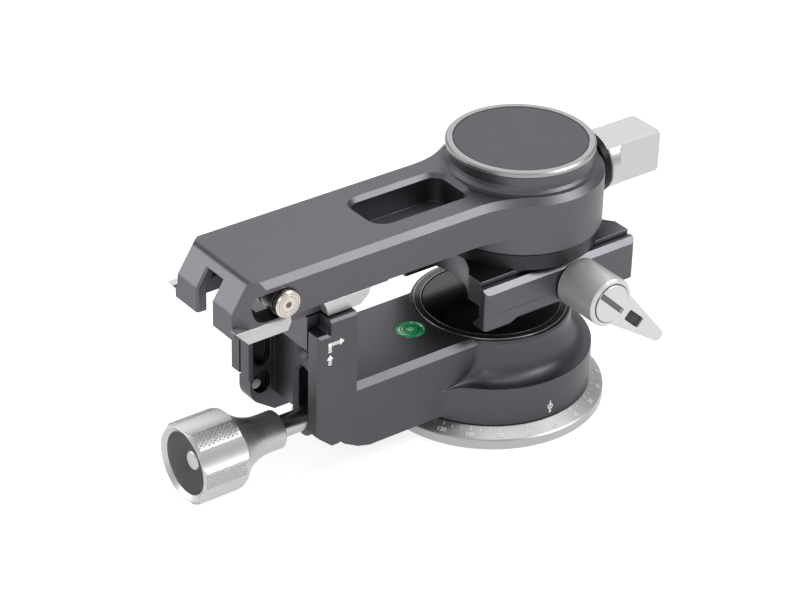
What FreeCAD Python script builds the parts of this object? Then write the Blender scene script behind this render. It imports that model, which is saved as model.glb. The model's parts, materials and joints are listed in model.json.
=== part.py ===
"""Folding gimbal tripod head: a panning base with a long base arm and upright, and a swing arm
that lies folded on it and carries a tilting quick-release clamp.

Frame: +Z is the pan axis and points up, +Y is across the arms, and the base arm runs towards -X.
The origin is the centre of the tripod mounting face. Lengths are in millimetres.
"""
import FreeCAD, Part
import math
import os

Vec = FreeCAD.Vector
ALONG_X = Vec(1, 0, 0)
ALONG_Y = Vec(0, 1, 0)
ALONG_Z = Vec(0, 0, 1)

# Clearances
fit_gap = 0.02            # between pieces that are pressed or screwed together
paint_gap = 0.1           # how far a cap's disc or the level's vial stands from its rim's height
running_gap = 0.05        # radial, shaft in bearing
sliding_gap = 0.1         # flat slide in its slot
free_gap = 0.3            # between parts that pass each other
cut_over = 1.0            # how far a cutting tool overshoots
curve_steps = 3           # straight steps in a turned quarter curve

# Tripod mount and dial
thread_r = 4.76           # 3/8"-16 tripod thread
thread_depth = 12.0
bushing_r = 7.0
stud_room = 4.0           # past the end of the thread
plate_r = 26.0
plate_top_z = 5.4
dial_r = 35.0
dial_side_z = 3.45
dial_inner_top_r = 30.9
dial_top_z = 5.6
dial_edge = 0.4
base_screw_count = 4
base_screw_circle_r = 16.0
base_screw_r = 1.6
base_screw_head_r = 3.0
base_screw_head_h = 1.9

# Pan stage
pan_spindle_r = 9.0
spindle_flange_r = 20.0
spindle_flange_h = 2.6
race_step = 0.3           # land that carries a bearing's inner race
race_land = 2.0
bearing_h = 4.0
pan_bearing_r = 14.0
retainer_h = 2.6
retainer_wall = 3.5
hub_bottom_z = 6.0
hub_r = 30.7
hub_shoulder_z = 18.2
collar_r = 24.2
collar_z = 27.2
collar_top_z = 30.5
pan_cap_r = 23.0
pan_cap_ring_w = 2.4
cap_line = 0.3            # dark line between a cap's ring and disc
pan_cap_top_z = 30.8
pan_cap_h = 3.2
hub_sweep_sections = 5
hub_sweep_power = 2.8     # 2 would be an ellipse, more is a squarer hollow
low_blend_r = 14.0        # plan radius between the base arm's side and the hub, at the shoulder
high_blend_r = 4.0        # the same at the collar
collar_edge = 0.6
cap_seat_gap = 0.15
flange_room = 2.0         # radial, round the spindle's flange

# Base arm
arm_half_w = 17.1
arm_top_z = 31.4
arm_chamfer = 1.85
arm_bottom_z = 9.5
arm_bottom_x = -56.3
arm_knee = (-60.5, 10.6)
arm_heel = (-65.1, 13.1)
arm_root_x = -18.0         # where the arm's block ends inside the hub
bubble_x = -30.8
bubble_y = -1.2
bubble_r = 4.7
bubble_h = 5.0
bubble_edge = 0.4

# Upright with its channel, at the end of the base arm
cheek_outer_y = 19.8
cheek_t = 5.7
upright_front_x = -76.5
upright_rear_x = -63.3
channel_floor_x = -68.0
cheek_top_z = 57.8
lip_top_z = 53.5
lip_x = -72.2
lip_bevel = 1.0
foot_front_z = 20.6
foot_front_x = -71.7
foot_z = 16.5
foot_rear_x = -69.1
far_foot = ((-76.5, 18.2), (-74.4, 13.9), (-68.0, 9.5), (-62.0, 9.5))
far_foot_round = (-75.9, 15.8)
cheek_chamfer = 0.8
rear_curve = ((-67.0, 20.3), (-65.4, 25.0), (-63.3, 32.0))
slot_half_w = 3.6
lower_slot_z = (13.5, 30.5)
upper_slot_z = (35.5, 44.0)
slot_rim = 1.2            # chamfer round the front of each slot
pocket_x = -72.4
pocket_half_w = 3.0
pocket_depth = 3.2
low_pocket_z = (16.6, 24.4)
high_pocket_z = (25.9, 38.5)
stop_pin_r = 1.6
stop_pin_place = (-74.3, 20.2)
pad_y = 23.7
pad_z = (22.0, 50.5)
pad_x = (-76.5, -66.5)
foot_boss_r = 5.2
foot_boss_rear_x = -57.0

# Arm lock knob at the foot of the upright
lock_z = 13.5
lock_stud_r = 3.4
lock_neck_x = -77.0
lock_neck_r = 5.8
lock_flare_x = -82.0      # where the neck starts to widen towards the head
lock_neck_edge = 0.5
lock_head_x = -93.5
lock_head_r = 12.0
lock_head_end_x = -109.0
lock_edge = 0.8
lock_bore_r = 9.5
lock_bore_depth = 11.0
lock_boss_r = 3.1
lock_boss_h = 3.5
lock_boss_gap = 0.5
lock_rim_w = 1.4
lock_rim_h = 1.0
lock_socket = 8.0         # how far the stud runs into the knob
lock_scallops = 6
lock_scallop_r = 14.0
lock_scallop_depth = 0.9

# Pan lock knob on the hub
pan_lock_angle = 30.0
pan_lock_z = 16.2
pan_lock_stud_r = 2.5
pan_lock_r = 6.8
pan_lock_in = 37.0
pan_lock_out = 50.0
pan_lock_flutes = 8
pan_lock_flute_r = 2.2
pan_lock_flute_depth = 0.8
pan_lock_edge = 0.6
pan_lock_neck_r = 4.1
pan_lock_neck_l = 3.0
knob_socket = 6.0         # how far the smaller studs run into their knobs
shoe_gap = 0.4
shoe_r = 3.4
shoe_l = 4.0

# Pivot of the swing arm
pivot_x = -85.9
pivot_z = 67.4
pivot_r = 2.5
pivot_head_r = 4.1
pivot_head_proud = 1.86   # how far the heads stand out of the swing arm's sides
pivot_head_edge = 0.4
pivot_socket_r = 1.6
pivot_socket_depth = 1.1
link_eye_r = 4.3
link_neck_half_w = 3.3
slider_gap = 0.4
slider_x = (-76.2, -68.4)
slider_z = (46.5, 57.3)
neck_low_z = 56.6
neck_low_run = 1.5
neck_share = 0.6          # how far up and down the eye the neck starts, as a share of its radius
neck_step = 1.0
neck_into_slider = 4.0

# Swing arm
swing_half_w = 17.14
swing_top_z = 74.9
swing_side_bottom_z = 62.4
swing_core_inset = 2.64
swing_core_z = 58.6
swing_core_rear_x = -56.0
swing_end_x = -100.9
swing_end_top_x = -95.4
swing_slope_z = 66.2
swing_end_round = 2.5
swing_corner = 3.8
side_band_x = -51.0        # the lower part of each side lies a little deeper from here to the hub
side_band_z = 65.4
side_band_depth = 0.45
tip_slot_half_w = 3.6
tip_slot_rim = 0.6
cavity_wall = 5.94
cavity_end_wall = 2.6
cavity_x = (-97.8, -66.0)
cavity_top_z = 72.0
side_slot_far_x = -92.05   # centre of the slot's round end, with the pivot at its other end
side_slot_half_h = 4.35
top_pocket_x = (-49.0, -15.4)
top_pocket_half_w = 9.1
top_pocket_floor_z = 66.0
top_pocket_chamfer = 1.3
top_pocket_corner = 4.0
rail_steps = ((0.0, 0.0), (0.86, -1.4), (0.46, -4.1))    # out of the arm's side, down from its edge
front_rail_x = (-102.0, -84.0)
rear_rail_x = (-73.0, -57.0)
rail_end_bevel = 3.9
rail_inner_bevel = 1.2

# Hub of the swing arm
tilt_x = 8.8
swing_hub_r = 25.0
swing_hub_bottom_z = 56.8
swing_hub_edge = 0.5
swing_blend_r = 30.0
neck_r = 21.0
neck_curve_h = 2.4         # height of the hollow between the hub's top and its neck
neck_h = 5.1
tilt_cap_r = 22.0
tilt_cap_gap = 0.7
tilt_cap_h = 1.4
tilt_cap_ring_w = 2.1
tilt_cap_edge = 0.5
tilt_cap_floor = 0.6
tilt_spigot_h = 2.0
tilt_spigot_w = 2.0
tilt_bearing_r = 16.0
tilt_spindle_r = 8.0
lower_seat_h = 0.8

# Tilt lock wing knob
tilt_lock_z = 66.0
tilt_lock_stud_r = 3.0
tilt_lock_boss_r = 8.6
tilt_lock_collar_r = 9.5
tilt_lock_collar_gap = 0.2  # from the hub's side
tilt_lock_collar_l = 3.0
collar_edge_r = 0.5
wing_r = 9.2
wing_l = 20.8
wing_edge = 0.9
wing_half_h = 6.5
wing_half_w = 6.2
wing_flat_start = 6.5      # from the collar
wing_cutter_r = 3.0        # run-out of the side flats
tilt_lock_collar_low_x = tilt_x + swing_hub_r + tilt_lock_collar_gap
tilt_lock_collar_x = (tilt_lock_collar_low_x, tilt_lock_collar_low_x + tilt_lock_collar_l)
wing_end_x = tilt_lock_collar_x[1] + wing_l
wing_flat_x = tilt_lock_collar_x[1] + wing_flat_start

# Quick-release clamp
rotor_r = 23.8
rotor_z = (51.5, 56.2)
clamp_x = 8.65
clamp_half_l = 27.55
clamp_half_w = 18.5
clamp_end_flat_y = 12.7
clamp_end_dip = 5.0
clamp_bottom_z = 43.6
seat_half_l = 17.5
seat_half_w = 15.0
seat_z = 39.9
spindle_head_r = 11.0
spindle_head_h = 2.6
jaw_t = 3.0
jaw_half_l = 28.05
jaw_top_z = 50.0
jaw_bevel = 1.6
jaw_end_round = 1.5
jaw_bottom_z = 36.7
jaw_lip_y = 16.4
jaw_lip_z = 37.4
dovetail_z = 40.0
jaw_arch_half_l = 15.0
jaw_arch_h = 1.9
jaw_arch_run = 3.6
guide_r = 2.0
guide_offset = 19.0
guide_z = 47.0
guide_depth = 12.0
guide_room = 0.5
guide_share = 0.6          # part of the jaw's thickness that holds each guide pin

# Clamp lever
lever_x = 14.4
lever_z = 42.8
lever_stud_r = 2.4
lever_barrel_r = 7.6
lever_front_y = -37.6
lever_screw_r = 5.9
lever_screw_h = 0.9
lever_tip = (33.6, 25.3)
lever_root_half_w = 5.9
lever_tip_half_w = 1.9
lever_t = 3.2
lever_window = (0.34, 0.62)    # shares of the way from the barrel's axis to the tip
lever_window_half_w = 1.7
lever_window_round = 0.6
lever_edge = 0.5
lever_slot_half_w = 0.7
lever_slot_depth = 0.7

# Worked out from the sizes above
cheek_inner_y = cheek_outer_y - cheek_t
slider_half_w = cheek_inner_y - slider_gap
swing_core_half_w = swing_half_w - swing_core_inset
cavity_half_w = swing_half_w - cavity_wall
link_eye_half_w = cavity_half_w - free_gap
pivot_head_out_y = swing_half_w + pivot_head_proud
flange_top_z = plate_top_z + spindle_flange_h
lower_pan_bearing_z = flange_top_z + race_step
cap_seat_z = pan_cap_top_z - pan_cap_h
pan_spindle_top_z = cap_seat_z - free_gap
upper_pan_bearing_z = pan_spindle_top_z - retainer_h - bearing_h - free_gap
neck_top_z = swing_top_z + neck_h
tilt_cap_z = neck_top_z + tilt_cap_gap
tilt_cap_top_z = tilt_cap_z + tilt_cap_h
tilt_spigot_z = neck_top_z - tilt_spigot_h
tilt_spindle_top_z = tilt_spigot_z - free_gap
upper_tilt_bearing_z = tilt_spindle_top_z - retainer_h - bearing_h - free_gap
lower_tilt_bearing_z = swing_hub_bottom_z + lower_seat_h
clamp_near_y = -clamp_half_w - free_gap
lever_inner_y = clamp_near_y - jaw_t - sliding_gap
lever_stud_end_y = -spindle_head_r - free_gap


def block(x_span, y_span, z_span):
    corner = Vec(x_span[0], y_span[0], z_span[0])
    return Part.makeBox(x_span[1] - x_span[0], y_span[1] - y_span[0], z_span[1] - z_span[0], corner)


def rod(radius, start, end):
    run = Vec(*end) - Vec(*start)
    return Part.makeCylinder(radius, run.Length, Vec(*start), run)


def prism(points, run):
    corners = [Vec(*p) for p in points]
    return Part.Face(Part.makePolygon(corners + [corners[0]])).extrude(Vec(*run))


def side_prism(outline, y_span):
    """An (x, z) outline extruded across the arms."""
    return prism([(x, y_span[0], z) for x, z in outline], (0, y_span[1] - y_span[0], 0))


def end_prism(outline, x_span):
    """A (y, z) outline extruded along the arms."""
    return prism([(x_span[0], y, z) for y, z in outline], (x_span[1] - x_span[0], 0, 0))


def lathe(profile, centre, axis=ALONG_Z):
    """A closed (radius, height) profile turned about an axis through centre."""
    corners = [Vec(r, 0, h) for r, h in profile]
    turned = Part.Face(Part.makePolygon(corners + [corners[0]])).revolve(Vec(0, 0, 0), ALONG_Z, 360)
    turned.Placement = FreeCAD.Placement(Vec(*centre), FreeCAD.Rotation(ALONG_Z, axis))
    return turned


def ring(inner_r, outer_r, z_span, x=0):
    profile = [(inner_r, z_span[0]), (outer_r, z_span[0]), (outer_r, z_span[1]), (inner_r, z_span[1])]
    return lathe(profile, (x, 0, 0))


def wedge(corner, inward, size, run):
    """What a chamfer takes off an edge that starts at corner and follows run. The two inward
    directions lie in the faces that meet at the edge."""
    start, first, second = Vec(*corner), Vec(*inward[0]), Vec(*inward[1])
    points = [start - first * cut_over - second * cut_over,
              start + first * (size + cut_over) - second * cut_over,
              start + second * (size + cut_over) - first * cut_over]
    return Part.Face(Part.makePolygon(points + [points[0]])).extrude(Vec(*run))


def obround_wire(half_w, z_span, x):
    """A slot's outline with round ends, standing along Z across the x axis."""
    low, high = z_span[0] + half_w, z_span[1] - half_w
    edges = [
        Part.makeLine(Vec(x, -half_w, low), Vec(x, -half_w, high)),
        Part.Arc(Vec(x, -half_w, high), Vec(x, 0, z_span[1]), Vec(x, half_w, high)).toShape(),
        Part.makeLine(Vec(x, half_w, high), Vec(x, half_w, low)),
        Part.Arc(Vec(x, half_w, low), Vec(x, 0, z_span[0]), Vec(x, -half_w, low)).toShape(),
    ]
    return Part.Wire(edges)


def side_obround(half_w, ends, y_span):
    """A slot with round ends about two (x, z) centres, cut across the arms."""
    (x_low, z_low), (x_high, z_high) = ends
    rods = [rod(half_w, (x, y_span[0], z), (x, y_span[1], z)) for x, z in ends]
    if x_low == x_high:
        middle = block((x_low - half_w, x_low + half_w), y_span, (z_low, z_high))
    else:
        middle = block((x_low, x_high), y_span, (z_low - half_w, z_low + half_w))
    return joined([middle] + rods)


def joined(shapes):
    whole = shapes[0]
    for shape in shapes[1:]:
        whole = whole.fuse(shape)
    return whole.removeSplitter()


def less(shape, cuts):
    for cut in cuts:
        shape = shape.cut(cut)
    return shape.removeSplitter()


def mirrored(shape):
    return shape.mirror(Vec(0, 0, 0), ALONG_Y)


def both_sides(shapes):
    return shapes + [mirrored(shape) for shape in shapes]


def edges_where(solid, wanted):
    return [e for e in solid.Edges if wanted(e.BoundBox)]


def turned_copies(shape, count, centre, axis):
    copies = []
    for step in range(count):
        copy = shape.copy()
        copy.rotate(centre, axis, 360.0 * step / count)
        copies.append(copy)
    return copies


def hub_outline(radius, half_w, blend, z, x=0):
    """Plan outline at one height of a hub at x with an arm towards -X: the hub's circle, the two
    blend arcs and a chord across the arm where they start."""
    tangent_x = -math.sqrt((radius + blend) ** 2 - (half_w + blend) ** 2)
    share = radius / (radius + blend)
    touch = (tangent_x * share, (half_w + blend) * share)
    turn = math.atan2(touch[1] - half_w - blend, touch[0] - tangent_x)
    middle = (turn - math.pi / 2) / 2
    mid = (tangent_x + blend * math.cos(middle), half_w + blend + blend * math.sin(middle))
    line_end = (tangent_x, half_w)

    def at(point, side):
        return Vec(x + point[0], side * point[1], z)

    edges = [
        Part.Arc(at(line_end, -1), at(mid, -1), at(touch, -1)),
        Part.Arc(at(touch, -1), Vec(x + radius, 0, z), at(touch, 1)),
        Part.Arc(at(touch, 1), at(mid, 1), at(line_end, 1)),
        Part.LineSegment(at(line_end, 1), at(line_end, -1)),
    ]
    return Part.Wire([edge.toShape() for edge in edges])


def hub_slab(radius, half_w, blend, z_span, x=0):
    outline = hub_outline(radius, half_w, blend, z_span[0], x)
    return Part.Face(outline).extrude(Vec(0, 0, z_span[1] - z_span[0]))


# ---- Base: everything that stays with the tripod ----

def base_screw_spots():
    angles = [math.radians(45 + 360.0 * i / base_screw_count) for i in range(base_screw_count)]
    return [(base_screw_circle_r * math.cos(a), base_screw_circle_r * math.sin(a)) for a in angles]


def make_base_plate():
    plate = rod(plate_r - fit_gap, (0, 0, 0), (0, 0, plate_top_z))
    cuts = [rod(pan_spindle_r + fit_gap, (0, 0, -cut_over), (0, 0, plate_top_z + cut_over))]
    for x, y in base_screw_spots():
        cuts.append(rod(base_screw_r + fit_gap, (x, y, -cut_over), (x, y, plate_top_z + cut_over)))
        cuts.append(rod(base_screw_head_r + fit_gap, (x, y, -cut_over), (x, y, base_screw_head_h + free_gap)))
    return less(plate, cuts)


def make_base_screw(x, y):
    shank_top = plate_top_z + spindle_flange_h - free_gap
    head = rod(base_screw_head_r, (x, y, free_gap), (x, y, base_screw_head_h + free_gap))
    socket = rod(base_screw_r, (x, y, 0), (x, y, free_gap + base_screw_head_h / 2))
    return joined([head, rod(base_screw_r, (x, y, free_gap), (x, y, shank_top))]).cut(socket)


def make_tripod_bushing():
    return ring(thread_r, bushing_r - fit_gap, (0, thread_depth))


def make_dial_ring():
    profile = [(plate_r, 0), (dial_r - dial_edge, 0), (dial_r, dial_edge),
               (dial_r, dial_side_z - dial_edge), (dial_r - dial_edge, dial_side_z),
               (dial_inner_top_r, dial_top_z), (plate_r, dial_top_z)]
    return lathe(profile, (0, 0, 0))


def make_pan_spindle():
    profile = [(bushing_r, 0), (pan_spindle_r, 0), (pan_spindle_r, plate_top_z),
               (spindle_flange_r, plate_top_z), (spindle_flange_r, flange_top_z),
               (pan_spindle_r + race_land, flange_top_z), (pan_spindle_r + race_land, lower_pan_bearing_z),
               (pan_spindle_r, lower_pan_bearing_z), (pan_spindle_r, pan_spindle_top_z),
               (0, pan_spindle_top_z), (0, thread_depth + stud_room), (bushing_r, thread_depth + stud_room)]
    screw_top_z = flange_top_z - free_gap / 2
    holes = [rod(base_screw_r + fit_gap, (x, y, 0), (x, y, screw_top_z)) for x, y in base_screw_spots()]
    return less(lathe(profile, (0, 0, 0)), holes)


def make_pan_retainer():
    low = upper_pan_bearing_z + bearing_h + free_gap
    return ring(pan_spindle_r + fit_gap, pan_spindle_r + retainer_wall, (low, low + retainer_h))


def make_bearing(inner_r, outer_r, low_z, x=0):
    return ring(inner_r + running_gap, outer_r - fit_gap, (low_z, low_z + bearing_h), x)


# ---- Pan body: hub, base arm and upright in one casting, with what is fixed in it ----

def hub_sweep():
    """The hollow curve from the hub's shoulder up to its collar."""
    wires = []
    for step in range(hub_sweep_sections):
        share = step / (hub_sweep_sections - 1)
        turn = math.pi / 2 * share
        radius = hub_r - (hub_r - collar_r) * math.sin(turn) ** (2 / hub_sweep_power)
        z = collar_z - (collar_z - hub_shoulder_z) * abs(math.cos(turn)) ** (2 / hub_sweep_power)
        blend = low_blend_r + (high_blend_r - low_blend_r) * share
        wires.append(hub_outline(radius, arm_half_w, blend, z))
    return Part.makeLoft(wires, True, False)


def arm_side_outline():
    return [(upright_rear_x, arm_top_z), (upright_rear_x - 2, arm_top_z), (foot_rear_x, foot_z),
            arm_heel, arm_knee, (arm_bottom_x, arm_bottom_z), (arm_root_x, arm_bottom_z),
            (arm_root_x, arm_top_z)]


def make_arm_block():
    """The base arm's straight part, with a chamfer along each top edge."""
    arm = side_prism(arm_side_outline(), (-arm_half_w, arm_half_w))
    run = (arm_root_x - upright_rear_x, 0, 0)
    near = wedge((upright_rear_x, -arm_half_w, arm_top_z), (ALONG_Y, -ALONG_Z), arm_chamfer, run)
    return less(arm, both_sides([near]))


def collar_top():
    """The top of the hub's collar, with the arm's chamfer following its blend arcs."""
    low_z = arm_top_z - arm_chamfer
    slab = hub_slab(collar_r, arm_half_w, high_blend_r, (collar_z, low_z))
    low = hub_outline(collar_r, arm_half_w, high_blend_r, low_z)
    high = hub_outline(collar_r - collar_edge, arm_half_w - arm_chamfer, high_blend_r, arm_top_z)
    return [slab, Part.makeLoft([low, high], True, True)]


def make_upright():
    cheek = [(upright_front_x, foot_front_z), (foot_front_x, foot_z), (foot_rear_x, foot_z), *rear_curve,
             (upright_rear_x, cheek_top_z), (lip_x, cheek_top_z), (lip_x, lip_top_z + lip_bevel),
             (lip_x - lip_bevel, lip_top_z), (upright_front_x, lip_top_z)]
    body = side_prism(cheek, (-cheek_outer_y, cheek_outer_y))
    cheek_h = lip_top_z - foot_z
    wedges = [
        wedge((lip_x, -cheek_outer_y, cheek_top_z), (ALONG_Y, -ALONG_Z), cheek_chamfer,
              (upright_rear_x - lip_x + cut_over, 0, 0)),
        wedge((upright_front_x - cut_over, -cheek_outer_y, lip_top_z), (ALONG_Y, -ALONG_Z), cheek_chamfer,
              (lip_x - upright_front_x + cut_over, 0, 0)),
        wedge((upright_front_x, -cheek_outer_y, foot_z), (ALONG_X, ALONG_Y), cheek_chamfer, (0, 0, cheek_h)),
        wedge((upright_front_x, -cheek_inner_y, foot_z), (ALONG_X, -ALONG_Y), cheek_chamfer, (0, 0, cheek_h)),
    ]
    return less(body, both_sides(wedges))


def make_far_foot():
    """The far cheek reaches lower than the near one, with a rounded corner in front."""
    corner, knee, low_front, low_rear = [Vec(x, cheek_inner_y, z) for x, z in far_foot]
    middle = Vec(far_foot_round[0], cheek_inner_y, far_foot_round[1])
    top_front = Vec(upright_front_x, cheek_inner_y, foot_front_z + cut_over)
    top_rear = Vec(upright_rear_x, cheek_inner_y, foot_front_z + cut_over)
    edges = [Part.makeLine(top_front, corner), Part.Arc(corner, middle, knee).toShape()]
    edges += Part.makePolygon([knee, low_front, low_rear, top_rear, top_front]).Edges
    return Part.Face(Part.Wire(edges)).extrude(Vec(0, cheek_t, 0))


def floor_slot(z_span):
    """A slot with round ends through the channel's floor, with a chamfer round its front."""
    front = channel_floor_x
    through = Part.Face(obround_wire(slot_half_w, z_span, front - cut_over))
    wide = (z_span[0] - slot_rim - cut_over, z_span[1] + slot_rim + cut_over)
    mouth = Part.makeLoft([obround_wire(slot_half_w + slot_rim + cut_over, wide, front - cut_over),
                           obround_wire(slot_half_w, z_span, front + slot_rim)], True, True)
    return joined([through.extrude(Vec(upright_rear_x - front + 3 * cut_over, 0, 0)), mouth])


def upright_cuts():
    inner = cheek_inner_y
    channel_x = (upright_front_x - cut_over, channel_floor_x)
    cuts = [block(channel_x, (-inner, inner), (0, cheek_top_z + cut_over))]
    cuts += [floor_slot(span) for span in (lower_slot_z, upper_slot_z)]
    for span, near_y in ((low_pocket_z, 0), (high_pocket_z, -inner - pocket_depth)):
        ends = ((pocket_x, span[0] + pocket_half_w), (pocket_x, span[1] - pocket_half_w))
        cuts.append(side_obround(pocket_half_w, ends, (near_y, inner + pocket_depth)))
    return cuts


def make_base_arm():
    hub = [rod(hub_r, (0, 0, hub_bottom_z), (0, 0, arm_bottom_z)),
           hub_slab(hub_r, arm_half_w, low_blend_r, (arm_bottom_z, hub_shoulder_z)), hub_sweep()]
    foot_boss = rod(foot_boss_r, (channel_floor_x, 0, lock_z), (foot_boss_rear_x, 0, lock_z))
    pad = block(pad_x, (cheek_outer_y, pad_y), pad_z)
    body = joined(hub + collar_top() + [make_arm_block(), make_upright(), make_far_foot(), foot_boss, pad])
    lock_bore = lock_stud_r + fit_gap
    shoe_end = pan_spindle_r + shoe_l + cut_over
    cuts = [
        rod(collar_r + sliding_gap, (0, 0, collar_top_z), (0, 0, arm_top_z + cut_over)),
        rod(pan_cap_r + cap_seat_gap, (0, 0, cap_seat_z), (0, 0, arm_top_z + cut_over)),
        rod(spindle_flange_r + flange_room, (0, 0, 0), (0, 0, flange_top_z + free_gap)),
        rod(pan_bearing_r, (0, 0, 0), (0, 0, lower_pan_bearing_z + bearing_h)),
        rod(pan_spindle_r + free_gap, (0, 0, 0), (0, 0, cap_seat_z)),
        rod(pan_bearing_r, (0, 0, upper_pan_bearing_z), (0, 0, cap_seat_z + cut_over)),
        rod(bubble_r + fit_gap, (bubble_x, bubble_y, arm_top_z - bubble_h),
            (bubble_x, bubble_y, arm_top_z + cut_over)),
        rod(lock_bore, (channel_floor_x - cut_over, 0, lock_z), (foot_boss_rear_x - cut_over, 0, lock_z)),
        pan_lock_rod(shoe_r + running_gap, 0, shoe_end),
        pan_lock_rod(pan_lock_stud_r + running_gap, 0, hub_r + cut_over),
        stop_pin(stop_pin_r + fit_gap, 0),
    ]
    return less(body, cuts + upright_cuts())


def stop_pin(radius, end_gap):
    """The far cheek's pin, which ends in the channel's low pocket."""
    x, z = stop_pin_place
    start = cheek_inner_y + free_gap if end_gap else cheek_inner_y
    return rod(radius, (x, start, z), (x, cheek_outer_y - end_gap, z))


def make_stop_pin():
    return stop_pin(stop_pin_r, free_gap)


def make_cap_ring(outer_r, width, z_span, x, edge):
    low, high = z_span
    profile = [(outer_r - width, low), (outer_r, low), (outer_r, high - edge), (outer_r - edge, high),
               (outer_r - width, high)]
    return lathe(profile, (x, 0, 0))


def make_pan_cap_ring():
    return make_cap_ring(pan_cap_r, pan_cap_ring_w, (cap_seat_z + fit_gap, pan_cap_top_z), 0, dial_edge)


def make_pan_cap_disc():
    radius = pan_cap_r - pan_cap_ring_w - cap_line
    return rod(radius, (0, 0, cap_seat_z + fit_gap), (0, 0, pan_cap_top_z - 2 * paint_gap))


def make_bubble_level():
    low, high = arm_top_z - bubble_h + fit_gap, arm_top_z + paint_gap
    return lathe([(0, low), (bubble_r, low), (bubble_r, high - bubble_edge), (bubble_r - bubble_edge, high),
                  (0, high)], (bubble_x, bubble_y, 0))


def make_arm_link():
    """The eye on the pivot, its neck, and the slider block that stands in the upright's channel."""
    eye = rod(link_eye_r, (pivot_x, -link_eye_half_w, pivot_z), (pivot_x, link_eye_half_w, pivot_z))
    slider = block(slider_x, (-slider_half_w, slider_half_w), slider_z)
    eye_low, eye_high = pivot_z - link_eye_r * neck_share, pivot_z + link_eye_r * neck_share
    neck_outline = [(pivot_x - link_eye_r * neck_share, eye_low), (slider_x[0] - neck_low_run, neck_low_z),
                    (slider_x[0] + neck_step, slider_z[0] + neck_into_slider),
                    (slider_x[1] - neck_step, slider_z[1] - neck_step),
                    (slider_x[1] - 2 * neck_step, slider_z[1]), (pivot_x + link_eye_r * neck_share, eye_high)]
    neck = side_prism(neck_outline, (-link_neck_half_w, link_neck_half_w))
    reach = link_eye_half_w + cut_over
    hole = rod(pivot_r + running_gap, (pivot_x, -reach, pivot_z), (pivot_x, reach, pivot_z))
    return less(joined([eye, slider, neck]), [hole])


# ---- Knobs ----

def fluted(radius, low, high, edge, count, flute_r, depth):
    """A round grip along +Z with flutes down its side."""
    grip = lathe([(0, low), (radius - edge, low), (radius, low + edge), (radius, high - edge),
                  (radius - edge, high), (0, high)], (0, 0, 0))
    reach = radius + flute_r - depth
    cutter = rod(flute_r, (reach, 0, low - cut_over), (reach, 0, high + cut_over))
    return less(grip, turned_copies(cutter, count, Vec(0, 0, 0), ALONG_Z))


def make_arm_lock_knob():
    """A round head with scallops and a deep bore, on a neck that flares out to it in one arc."""
    length = lock_neck_x - lock_head_end_x
    head_low = lock_neck_x - lock_head_x
    head = fluted(lock_head_r, head_low, length, lock_edge, lock_scallops, lock_scallop_r, lock_scallop_depth)
    flare_low = lock_neck_x - lock_flare_x
    flare_run, flare_rise = head_low - flare_low, lock_head_r - lock_edge - lock_neck_r
    flare_r = (flare_run ** 2 + flare_rise ** 2) / (2 * flare_rise)
    flare_turn = math.asin(flare_run / flare_r)
    profile = [(0, head_low), (0, 0), (lock_neck_r - lock_neck_edge, 0), (lock_neck_r, lock_neck_edge)]
    for number in range(2 * curve_steps + 1):
        turn = flare_turn * number / (2 * curve_steps)
        profile.append((lock_neck_r + flare_r * (1 - math.cos(turn)), flare_low + flare_r * math.sin(turn)))
    neck = lathe(profile, (0, 0, 0))
    floor_z = length - lock_bore_depth
    bore = ring(lock_boss_r, lock_bore_r, (floor_z, length + cut_over))
    boss_top = rod(lock_boss_r + lock_boss_gap, (0, 0, floor_z + lock_boss_h), (0, 0, length + cut_over))
    rim_low, rim_r = length - lock_rim_h, lock_bore_r + lock_rim_w
    rim = lathe([(0, rim_low), (lock_bore_r, rim_low), (rim_r, length), (rim_r, length + cut_over),
                 (0, length + cut_over)], (0, 0, 0))
    socket = rod(lock_stud_r + fit_gap, (0, 0, -cut_over), (0, 0, lock_socket))
    knob = less(joined([head, neck]), [bore, boss_top, rim, socket])
    knob.Placement = FreeCAD.Placement(Vec(lock_neck_x, 0, lock_z), FreeCAD.Rotation(ALONG_Z, -ALONG_X))
    return knob


def make_arm_lock_stud():
    start, end = lock_neck_x - lock_socket + free_gap, foot_boss_rear_x - 2 * cut_over
    return rod(lock_stud_r - running_gap, (start, 0, lock_z), (end, 0, lock_z))


def pan_lock_rod(radius, start, end):
    """A rod on the pan lock's axis, which points out of the hub at an angle."""
    angle = math.radians(pan_lock_angle)
    spots = [(reach * math.cos(angle), reach * math.sin(angle), pan_lock_z) for reach in (start, end)]
    return rod(radius, *spots)


def make_pan_lock_knob():
    grip = fluted(pan_lock_r, pan_lock_in, pan_lock_out, pan_lock_edge, pan_lock_flutes, pan_lock_flute_r,
                  pan_lock_flute_depth)
    upright_axis = FreeCAD.Placement(Vec(0, 0, 0), FreeCAD.Rotation(ALONG_Z, ALONG_X))
    turned = FreeCAD.Placement(Vec(0, 0, pan_lock_z), FreeCAD.Rotation(ALONG_Z, pan_lock_angle))
    grip.Placement = turned.multiply(upright_axis)
    neck = pan_lock_rod(pan_lock_neck_r, pan_lock_in - pan_lock_neck_l, pan_lock_in + fit_gap)
    return less(joined([grip, neck]), [pan_lock_rod(pan_lock_stud_r + fit_gap, 0, pan_lock_in + knob_socket)])


def make_pan_lock_stud():
    start = pan_spindle_r + shoe_gap + shoe_l + free_gap
    return pan_lock_rod(pan_lock_stud_r, start, pan_lock_in + knob_socket - free_gap)


def make_pan_brake_shoe():
    shoe = pan_lock_rod(shoe_r, pan_spindle_r + shoe_gap - free_gap, pan_spindle_r + shoe_gap + shoe_l)
    return shoe.cut(rod(pan_spindle_r + shoe_gap, (0, 0, 0), (0, 0, arm_top_z)))


# ---- Pivot ----

def make_pivot_pin():
    reach = swing_half_w + sliding_gap
    return rod(pivot_r, (pivot_x, -reach, pivot_z), (pivot_x, reach, pivot_z))


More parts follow.
